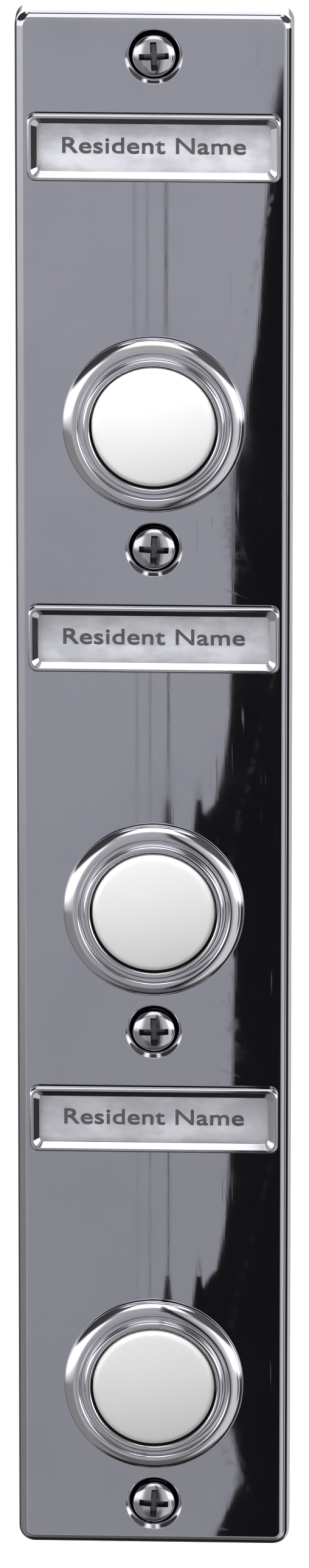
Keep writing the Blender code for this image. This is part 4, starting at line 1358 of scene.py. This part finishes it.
@dataclass
class Switch:
    """What stands behind a button: cup, spring, bridge, lamp, terminals and their screws."""

    number: int
    wall_bore: float = 10.15
    cavity: float = 9.2
    cavity_top: float = -3.25
    cavity_floor: float = -9.8
    spigot: float = 1.6
    spigot_top: float = -7.9
    contact: float = 5.6
    pillar: float = 2.0
    pillar_top: float = -7.85
    post_hole: float = 1.15
    drop: float = 4.0
    pilot: float = 1.2
    pilot_depth: float = 1.25
    lamp_offset: float = 5.1
    lamp_seat: float = -3.0
    lamp_holder: float = 2.0
    lead_hole: float = 1.35
    flute_depth: float = 0.22
    wire: float = 0.25
    spring_radius: float = 2.3
    spring_coils: float = 3.5
    travel: float = 1.5
    facets: int = 120
    bulb: float = 1.5
    sheet: float = 0.8
    joint: str = field(init=False)
    body: str = field(init=False)

    def __post_init__(self) -> None:
        """Name the joint and body of this station."""
        self.joint = f"button_{self.number}_press"
        self.body = f"button_{self.number}"

    def build(self, finishes: Finishes) -> None:
        """Make every piece of the switch."""
        self._cup(finishes)
        self._spring(finishes)
        self._bridge(finishes)
        self._lamp(finishes)
        for hand in Hand:
            self._terminal(finishes, hand)
            self._clamp_screw(finishes, hand)

    def _cup(self, finishes: Finishes) -> None:
        """Make the fluted cup with spigot, pillars and lamp holder."""
        box = Extent.of(f"switch_housing_{self.number}")
        work = Workpiece(f"switch_cup_{self.number}")
        radius = box.half_width
        work.turn([
            (0, self.spigot_top), (self.spigot, self.spigot_top, 0.3), (self.spigot, self.cavity_floor),
            (self.cavity, self.cavity_floor, 0.4), (self.cavity, self.cavity_top),
            (self.wall_bore, self.cavity_top),
            (self.wall_bore, box.front, 0.15), (radius, box.front, 0.2), (radius, box.front - 1.2),
            (radius, box.back + 1.4), (radius, box.back, 0.6), (0, box.back)], steps=self.facets)
        work.bm.normal_update()
        flutes = []
        for face in work.bm.faces:
            middle = face.calc_center_median()
            facet = round(math.atan2(*middle.yx) / math.tau * self.facets - 0.5)
            on_band = box.back + 1.3 < middle.z < box.front - 1.2 and middle.xy.length > radius - 0.1
            if on_band and facet % 3 == 0:
                flutes.append(face)
        bmesh.ops.inset_individual(work.bm, faces=flutes, thickness=0.06, depth=0.0, use_even_offset=True)
        for face in flutes:
            inwards = Vector((*face.calc_center_median().xy.normalized(), 0)) * -self.flute_depth
            bmesh.ops.translate(work.bm, vec=inwards, verts=face.verts)
        bosses = Workpiece("bosses")
        holes = Workpiece("holes")
        for hand in Hand:
            at = (hand.value * self.contact, 0.0)
            bosses.drum(self.pillar, self.cavity_floor - 0.3, self.pillar_top, at)
            holes.drum(self.post_hole, box.back - 0.5, self.pillar_top + 0.5, at)
            holes.drum(self.pilot, box.back - 0.5, box.back + self.pilot_depth, (at[0], -self.drop))
        bosses.drum(self.lamp_holder, self.cavity_floor - 0.3, self.lamp_seat, (0, self.lamp_offset))
        holes.drum(self.lead_hole, box.back - 0.5, self.lamp_seat + 0.5, (0, self.lamp_offset))
        work.carve(bosses, "UNION")
        work.carve(holes)
        work.finish([finishes.housing], box.row,
                    replaces=f"switch_housing_{self.number}")

    def _spring(self, finishes: Finishes) -> None:
        """Wind the spring: a closed coil, open coils and a closed coil."""
        box = Extent.of(f"return_spring_{self.number}")
        work = Workpiece(f"coil_spring_{self.number}")
        foot = box.back + self.wire
        rise = box.front - box.back - 2 * self.wire
        closed = 2 * self.wire + 0.02
        height = foot
        for turns, climb in ((1.0, closed), (self.spring_coils, rise - 2 * closed), (1.0, closed)):
            section = [(self.spring_radius + self.wire * math.cos(a), height + self.wire * math.sin(a))
                       for a in (i * math.pi / 5 for i in range(10))]
            if height > foot + closed + 0.5:
                section = [(-radius, level) for radius, level in section]
            work.coil(section, turns, climb)
            height += climb
        spring = work.finish([finishes.spring], box.row,
                             replaces=f"return_spring_{self.number}", crease=60)
        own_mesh(spring)

    def _bridge(self, finishes: Finishes) -> None:
        """Make the leaf with a stiffening rib and two silver contacts."""
        box = Extent.of(f"contact_bridge_{self.number}")
        work = Workpiece(f"bridge_leaf_{self.number}")
        leaf_back = box.front - 0.5
        work.slab((box.half_width, box.half_height), 1.62, leaf_back, box.front, 0.1)
        for hand in Hand:
            at = (hand.value * self.contact, 0.0)
            work.turn([(0, box.back), (0.5, box.back + 0.02), (0.88, box.back + 0.09),
                       (1.1, leaf_back - 0.02), (1.1, leaf_back + 0.2), (0, leaf_back + 0.2)], at, 32)
        work.paint(1, lambda middle: middle.z < leaf_back - 0.005)
        work.finish([finishes.bronze, finishes.silver], box.row, body=self.body,
                    replaces=f"contact_bridge_{self.number}")

    def _lamp(self, finishes: Finishes) -> None:
        """Make the lamp: domed lens, flange and two tinned leads."""
        box = Extent.of(f"lamp_{self.number}")
        work = Workpiece(f"lamp_bulb_{self.number}")
        radius, base = self.bulb, self.lamp_seat + GAP
        top = dome_profile(0, radius, box.front - radius, radius, 12)[1:]
        work.turn([(0, box.front), *top, (radius, base + 0.5, 0.05), (radius + 0.25, base + 0.5, 0.08),
                   (radius + 0.25, base, 0.08), (0, base)], steps=48)
        for side in (-0.6, 0.6):
            work.drum(0.25, box.back, base + 0.2, (side, 0), 0.05, 16)
        work.paint(1, lambda middle: middle.z < base - 0.01)
        work.finish([finishes.lamp, finishes.tin], box.row,
                    replaces=f"lamp_{self.number}")

    def _terminal(self, finishes: Finishes, hand: Hand) -> None:
        """Make a contact post with its stamped rear tab."""
        letter = hand.name.lower()
        box = Extent.of(f"terminal_{letter}_{self.number}")
        work = Workpiece(f"terminal_tab_{letter}_{self.number}")
        axis = Extent.of(f"button_bezel_{self.number}").row
        tab_front = box.back + self.sheet
        at = (0.0, axis - box.row)
        hole_at = (0.0, axis - self.drop - box.row)
        side = [work.outline((box.half_width - inset, box.half_height - inset), 0.8 - inset, height)
                for inset, height in rounded_side(0.1, box.back, tab_front, 3)]
        hole = [work.circle(self.pilot + inset, height, hole_at, 40)
                for inset, height in rounded_side(0.08, box.back, tab_front, 2)]
        work.loft(side)
        work.loft(hole)
        work.fill(side[0], hole[0])
        work.fill(side[-1], hole[-1])
        work.turn([(0, box.front), (1.3, box.front, 0.2), (1.3, box.front - 0.6, 0.08),
                   (0.9, box.front - 0.6), (0.9, tab_front - 0.3), (0, tab_front - 0.3)], at, 40)
        work.turn([(0, box.back - 0.12), (0.7, box.back - 0.1), (1.15, box.back + 0.1),
                   (0, box.back + 0.3)], at, 40)
        work.finish([finishes.brass], box.row, box.column,
                    replaces=f"terminal_{letter}_{self.number}")

    def _clamp_screw(self, finishes: Finishes, hand: Hand) -> None:
        """Make a slotted pan-head screw."""
        letter = hand.name.lower()
        box = Extent.of(f"terminal_screw_{letter}_{self.number}")
        work = Workpiece(f"clamp_screw_{letter}_{self.number}")
        head, radius = box.back + 1.4, box.half_width
        work.turn([(0, box.front), (0.7, box.front, 0.1), (0.72, head), (radius, head, 0.08),
                   (radius, box.back, 0.45), (0, box.back)], steps=64)
        cutter = Workpiece("slot_cutter")
        lean = 0.35 * hand.value + 0.2 * self.number
        cutter.block((radius + 0.5, 0.3, 0.6), (0, 0, box.back), lean)
        work.carve(cutter)
        work.thread(0.72, 0.95, head - 0.1, box.front + 0.3, 0.4, 20)
        work.finish([finishes.zinc], box.row, box.column,
                    replaces=f"terminal_screw_{letter}_{self.number}", crease=45)


@dataclass
class BusWire:
    """Common wire between two stations, with bared strands under the terminal screws."""

    number: int
    radius: float = 0.65
    contact: float = 5.6
    drop: float = 4.0
    reach: float = 2.25
    height: float = -13.55
    gap_height: float = -12.775
    strand: float = 0.11
    strands: int = 5
    leave: Route = ((0, 0, 0), (0, -3.0, 0), (-0.1, -6.5, 0.1), (-0.5, -11.0, 1.6), (-1.1, -17.0, 4.2))
    arrive: Route = ((-1.2, 24.0, 4.4), (-0.6, 18.0, 1.8), (-0.1, 13.5, 0.1), (0, 7.0, 0), (0, 0, 0))

    def build(self, finishes: Finishes) -> None:
        """Make the insulated wire and its two bared ends."""
        rows = [Extent.of(f"button_bezel_{self.number + step}").row - self.drop for step in (0, 1)]
        start = Vector((-self.contact, rows[0] - self.reach, self.height))
        end = Vector((-self.contact, rows[1] + self.reach, self.height))
        route = self._smooth([start + Vector(step) for step in self.leave] +
                             [end + Vector(step) for step in self.arrive], 8)
        work = Workpiece(f"insulated_wire_{self.number}")
        work.join(wire_mesh(route, self.radius, 6))
        work.finish([finishes.wire], replaces=f"bus_wire_{self.number}", crease=50)
        cores = Workpiece(f"bared_strands_{self.number}")
        for row, side in ((rows[0], -1), (rows[1], 1)):
            for lane in range(self.strands):
                cores.join(wire_mesh(self._strand(row, side, lane), self.strand, 2))
        cores.finish([finishes.copper], crease=60)

    def _strand(self, row: float, side: int, lane: int) -> list[Vector]:
        """Line of one strand: out of the insulation, under the screw head and round its shank.

        Args:
            row: Row of the terminal screw.
            side: 1 where the wire comes from above, -1 from below.
            lane: Number of the strand, 0 to 4.

        Returns:
            Points on the bench.
        """
        spread = (lane - 2) * 0.1
        hook = 1.12 + lane * 0.24
        near = -self.contact + spread
        points = [Vector((near, row + side * (self.reach + 0.6), self.height + abs(spread) * 0.5)),
                  Vector((near, row + side * (self.reach - 0.05), self.height + 0.1)),
                  Vector((-self.contact + hook * 0.85, row + side * 1.95 * (0.8 + lane * 0.05),
                          self.gap_height))]
        for i in range(13):
            bend = -i * math.pi / 10 + 0.7
            points.append(Vector((-self.contact + hook * math.cos(bend), row + side * hook * math.sin(bend),
                                  self.gap_height)))
        return self._smooth(points, 3)

    @staticmethod
    def _smooth(points: Sequence[Vector], steps: int) -> list[Vector]:
        """Points along a smooth curve through the given ones.

        Args:
            points: Where the curve passes.
            steps: Points to a stretch.

        Returns:
            Points on the curve.
        """
        padded = [points[0] * 2 - points[1], *points, points[-1] * 2 - points[-2]]
        made = []
        for before, first, second, after in zip(padded, padded[1:], padded[2:], padded[3:]):
            for i in range(steps):
                t = i / steps
                bend = (before * -1 + first * 3 - second * 3 + after) * t ** 3
                lean = (before * 2 - first * 5 + second * 4 - after) * t ** 2
                made.append((first * 2 + (second - before) * t + lean + bend) / 2)
        return [*made, points[-1]]


# ---------------------------------------------------------------- studio


@dataclass(frozen=True)
class Patch:
    """Soft-edged area of the light tent.

    The turn is in degrees from the front, positive to the visitor's right; the rise is in degrees
    above the horizon.
    """

    turn: Point
    rise: Point
    level: float
    soft: float = 5.0

    def mask(self, graph: Graph, turn: bpy.types.NodeSocket,
             rise: bpy.types.NodeSocket) -> bpy.types.NodeSocket:
        """Mask of the patch.

        Args:
            graph: The world's graph.
            turn: Turn of the direction looked at.
            rise: Rise of the direction looked at.

        Returns:
            1 inside the patch, 0 outside.
        """
        made: object = 1.0
        for value, (low, high) in ((turn, self.turn), (rise, self.rise)):
            begun = graph.span(value, low - self.soft, low + self.soft)
            made = graph.maths("MULTIPLY", made, begun)
            left = graph.span(value, high - self.soft, high + self.soft, 1.0, 0.0)
            made = graph.maths("MULTIPLY", made, left)
        return made


LIGHT_TENT = (
    Patch((-200, 200), (28, 100), 1.5, 10),         # overhead
    Patch((-200, -120), (4, 60), 2.1, 4),           # backdrop, up left
    Patch((120, 200), (4, 60), 2.1, 4),             # backdrop, up right
    Patch((-130, 150), (-66, -32), 0.15, 4),        # low, all round the front
    Patch((12, 150), (-50, 12), 0.75, 4),           # right
    Patch((-102, -20), (-36, -14), 0.62, 4),        # left, low
    Patch((-102, -20), (-60, -19.4), 0.28, 1.6),    # left, lowest
    Patch((-102, -20), (-14.5, 9), 1.6, 4),         # left softbox
    Patch((-200, -104), (-60, -3), 0.10, 3),        # dark behind the left edge
    Patch((-125, -27), (10, 60), 0.05, 4),          # flag, up left
    Patch((22, 120), (12, 56), 0.11, 4),            # flag, up right
    Patch((24, 80), (-13, 9), 2.1, 4),              # right softbox
    Patch((-22, 20), (24, 85), 1.6, 5),             # top softbox
    Patch((62, 98), (-64, -13), 0.02, 3),           # narrow flag, right
    Patch((41, 52), (-28, -13), 0.04, 3),           # narrow flag, front right
    Patch((-70, 60), (64, 78), 0.06, 2),            # narrow flag, overhead
    Patch((-200, 200), (-100, -64), 0.02, 3),       # dark floor
)


@dataclass
class Studio:
    """Camera, pale floor, soft lights and the cards that the polished metal mirrors."""

    azimuth: float = 2.0
    elevation: float = 19.0
    distance: float = 1.965
    lens: float = 335.0
    aim: tuple[float, float, float] = (0.0, -0.002, 0.0003)
    tent_level: float = 0.5
    ambient: float = 0.40
    patches: tuple[Patch, ...] = LIGHT_TENT
    floor_drop: float = 0.6
    cover_front: float = 4.5
    card_depth: float = 306.0
    strip_depth: float = 160.0
    strip_side: float = 24.0
    flag_depth: float = 110.0
    eye: Vector = field(init=False)

    def __post_init__(self) -> None:
        """Place the camera's eye."""
        turn, rise = math.radians(self.azimuth), math.radians(self.elevation)
        back = Vector((math.sin(turn) * math.cos(rise), -math.cos(turn) * math.cos(rise), math.sin(rise)))
        self.eye = Vector(self.aim) + back * self.distance

    def build(self) -> None:
        """Set the whole studio up."""
        self._camera()
        self._world()
        self._floor()
        self._lights()
        self._cards()
        bpy.context.scene.view_settings.view_transform = "Standard"

    def _camera(self) -> None:
        """Add the camera."""
        data = bpy.data.cameras.new("studio_camera")
        data.lens = self.lens
        data.clip_end = 60.0
        camera = bpy.data.objects.new("studio_camera", data)
        camera.location = self.eye
        camera.rotation_euler = (Vector(self.aim) - self.eye).to_track_quat("-Z", "Y").to_euler()
        bpy.context.scene.collection.objects.link(camera)
        bpy.context.scene.camera = camera

    def _world(self) -> None:
        """Add the surroundings: white for the eye, a light tent of soft patches for mirrors."""
        world = bpy.data.worlds.new("light_tent")
        world.use_nodes = True
        graph = Graph(world.node_tree)
        ground = world.node_tree.nodes["Background"]
        path = graph.add("LightPath").outputs
        way = graph.add("SeparateXYZ", {0: graph.add("TexCoord").outputs["Generated"]}).outputs
        front = graph.maths("MULTIPLY", way[1], -1.0)
        turn = graph.maths("DEGREES", graph.maths("ARCTAN2", way[0], front))
        rise = graph.maths("DEGREES", graph.maths("ARCSINE", way[2]))
        tone: object = self.tent_level
        for patch in self.patches:
            tone = graph.add("Mix", {0: patch.mask(graph, turn, rise), 2: tone, 3: patch.level}).outputs[0]
        mirrored = graph.maths("MAXIMUM", path["Is Glossy Ray"], path["Is Transmission Ray"])
        seen = graph.add("Mix", {0: mirrored, 2: self.ambient, 3: tone}).outputs[0]
        seen = graph.add("Mix", {0: path["Is Camera Ray"], 2: seen, 3: 1.0}).outputs[0]
        world.node_tree.links.new(seen, ground.inputs["Strength"])
        ground.inputs["Color"].default_value = (1.0, 1.0, 1.0, 1.0)
        bpy.context.scene.world = world

    def _floor(self) -> None:
        """Add the pale floor, which doesn't hide the panel from below."""
        material = bpy.data.materials.new("studio_floor")
        material.use_nodes = True
        graph = Graph(material.node_tree)
        shader = material.node_tree.nodes["Principled BSDF"]
        shader.inputs["Base Color"].default_value = (0.93, 0.93, 0.93, 1.0)
        shader.inputs["Roughness"].default_value = 0.9
        shader.inputs["Emission Color"].default_value = (1.0, 1.0, 1.0, 1.0)
        shader.inputs["Emission Strength"].default_value = 0.8
        clear = graph.add("BsdfTransparent").outputs[0]
        under = graph.add("NewGeometry").outputs["Backfacing"]
        mixed = graph.add("MixShader", {0: under, 1: shader.outputs[0], 2: clear}).outputs[0]
        material.node_tree.links.new(mixed, material.node_tree.nodes["Material Output"].inputs[0])
        bm = bmesh.new()
        bmesh.ops.create_grid(bm, x_segments=1, y_segments=1, size=20.0,
                              matrix=Matrix.Translation((0, 0, -self.floor_drop)))
        floor = self._stage_object("studio_floor", bm, material)
        floor.visible_glossy = floor.visible_diffuse = False

    def _lights(self) -> None:
        """Add the soft lights."""
        for name, place, size, power in (
                ("overhead_softbox", (-0.06, -0.15, 0.42), (0.30, 0.15), 2.8),
                ("left_softbox", (-0.85, -0.55, 0.25), (0.35, 0.8), 1.6),
                ("right_strip", (0.75, -0.35, 0.75), (0.12, 0.5), 0.8)):
            data = bpy.data.lights.new(name, "AREA")
            data.shape, data.energy = "RECTANGLE", power
            data.size, data.size_y = size
            light = bpy.data.objects.new(name, data)
            light.location = place
            light.rotation_euler = (-Vector(place)).to_track_quat("-Z", "Y").to_euler()
            light.visible_glossy = False
            bpy.context.scene.collection.objects.link(light)

    def _mirrored(self, across: float, up: float, depth: float) -> Vector:
        """Point of a card that the camera sees mirrored in the cover.

        Args:
            across: Where on the cover, to the right, in millimetres.
            up: Where on the cover, up the panel, in millimetres.
            depth: How far in front of the wall plane the card stands.

        Returns:
            The point in metres.
        """
        plane = -self.cover_front * MM
        image = Vector((self.eye.x, 2 * plane - self.eye.y, self.eye.z))
        point = Vector((across * MM, plane, up * MM))
        return image + (point - image) * ((-depth * MM - image.y) / (point.y - image.y))

    def _cards(self) -> None:
        """Add the graded grey card and the black flags in front of it."""
        whole_field = ((-60, -115), (60, -115), (60, 115), (-60, 115))
        self._card("grey_card", [whole_field], self.card_depth, 0.50, 0.41)
        # Left edge of the dark strip, from the top down, as (across, up) on the cover.
        edge = ((17.0, 101.5), (15.6, 94.4), (15.2, 86), (14.6, 78), (14.1, 69), (13.5, 62.3), (12.5, 56.5),
                (11.9, 50), (10.9, 47.3), (10.6, 45), (10.5, 36), (10.5, 26), (10.3, 16), (10.2, 11),
                (9.8, 7.5), (9.1, 2.7), (8.1, -1.7), (7.0, -2.8), (6.1, -4), (6, -12), (9, -18), (10.9, -24),
                (10.7, -30), (10.6, -40), (10.3, -50), (10.1, -56), (9.7, -61), (9.2, -65), (8.6, -68.4),
                (7.3, -70.1), (6, -72.7), (6, -80), (9, -88), (10.8, -92.6), (11.8, -99), (10.8, -101.8),
                (9.8, -104.3), (8.6, -107), (7, -112))
        strip = [(high, (self.strip_side, high[1]), (self.strip_side, low[1]), low)
                 for high, low in zip(edge, edge[1:])]
        self._card("black_flag", strip, self.strip_depth, 0.011, 0.011)
        # Two wedges over each of the lower buttons.
        for row in (0.0, -PITCH):
            for across, base in ((1.9, 0.7), (6.1, 0.9)):
                tip, foot, waist = (across, row + 2.8), row - 6, row - 1
                left, right = across - 0.25, across + 0.25
                wedge = [((across - base, foot), (left, waist), tip),
                         ((right, waist), (across + base, foot), tip),
                         ((across - base, foot), (across + base, foot), (right, waist), (left, waist))]
                self._card("small_flag", wedge, self.flag_depth, 0.01, 0.01)
        # Three thin lines under each name window.
        for across, width, tone in ((-2.4, 0.3, 0.36), (-0.6, 0.16, 0.22), (1.85, 0.26, 0.12)):
            for top, foot, shift in ((86.5, 63.0, -0.35), (17.5, -6.0, 0.0), (-51.0, -75.0, 0.0)):
                left, right = across + shift, across + shift + width
                line = ((left, foot), (right, foot), (right, top), (left, top))
                self._card("thin_flag", [line], self.flag_depth, tone, tone)

    def _card(self, name: str, shapes: Sequence[Sequence[Point]], depth: float, high: float,
              low: float) -> None:
        """Add a card that only mirrors see.

        Args:
            name: Its name.
            shapes: Its faces, as points on the cover where the camera sees them mirrored.
            depth: How far in front of the wall plane it stands.
            high: Brightness at the top.
            low: Brightness at the foot.
        """
        bm = bmesh.new()
        for shape in shapes:
            bm.faces.new([bm.verts.new(self._mirrored(x, z, depth)) for x, z in shape])
        bmesh.ops.remove_doubles(bm, verts=bm.verts, dist=1e-6)
        material = bpy.data.materials.new(name)
        material.use_nodes = True
        tree = material.node_tree
        tree.nodes.remove(tree.nodes["Principled BSDF"])
        graph = Graph(tree)
        up = graph.add("SeparateXYZ", {0: graph.add("TexCoord").outputs["Object"]}).outputs[2]
        level = graph.span(up, self._mirrored(0, -109, depth).z, self._mirrored(0, 109, depth).z, low, high)
        light = graph.add("Emission", {"Color": (0.945, 0.945, 1.0, 1.0), "Strength": level}).outputs[0]
        tree.links.new(light, tree.nodes["Material Output"].inputs[0])
        card = self._stage_object(name, bm, material)
        card.visible_camera = card.visible_diffuse = card.visible_transmission = card.visible_shadow = False

    @staticmethod
    def _stage_object(name: str, bm: bmesh.types.BMesh, material: bpy.types.Material) -> bpy.types.Object:
        """Make an object that isn't part of the panel."""
        mesh = bpy.data.meshes.new(name)
        bm.to_mesh(mesh)
        bm.free()
        mesh.materials.append(material)
        obj = bpy.data.objects.new(name, mesh)
        bpy.context.scene.collection.objects.link(obj)
        return obj


def main() -> None:
    """Build the panel and the studio."""
    logging.basicConfig(level=logging.INFO, format="%(name)s %(message)s")
    button_row, screw_row = Extent.of("button_bezel_1").row, Extent.of("cover_screw_1").row
    finishes = Finishes(button_row, screw_row)
    CoverPlate().build(finishes)
    Carrier().build(finishes)
    for number, turn in ((1, 0.05), (2, -0.04), (3, 0.03), (4, -0.06)):
        CoverScrew(number, turn).build(finishes)
    for number in STATIONS:
        NameWindow(number).build(finishes)
        PushButton(number).build(finishes)
        Switch(number).build(finishes)
    for number in STATIONS[:-1]:
        BusWire(number).build(finishes)
    Studio().build()


if __name__ == "__main__":
    main()
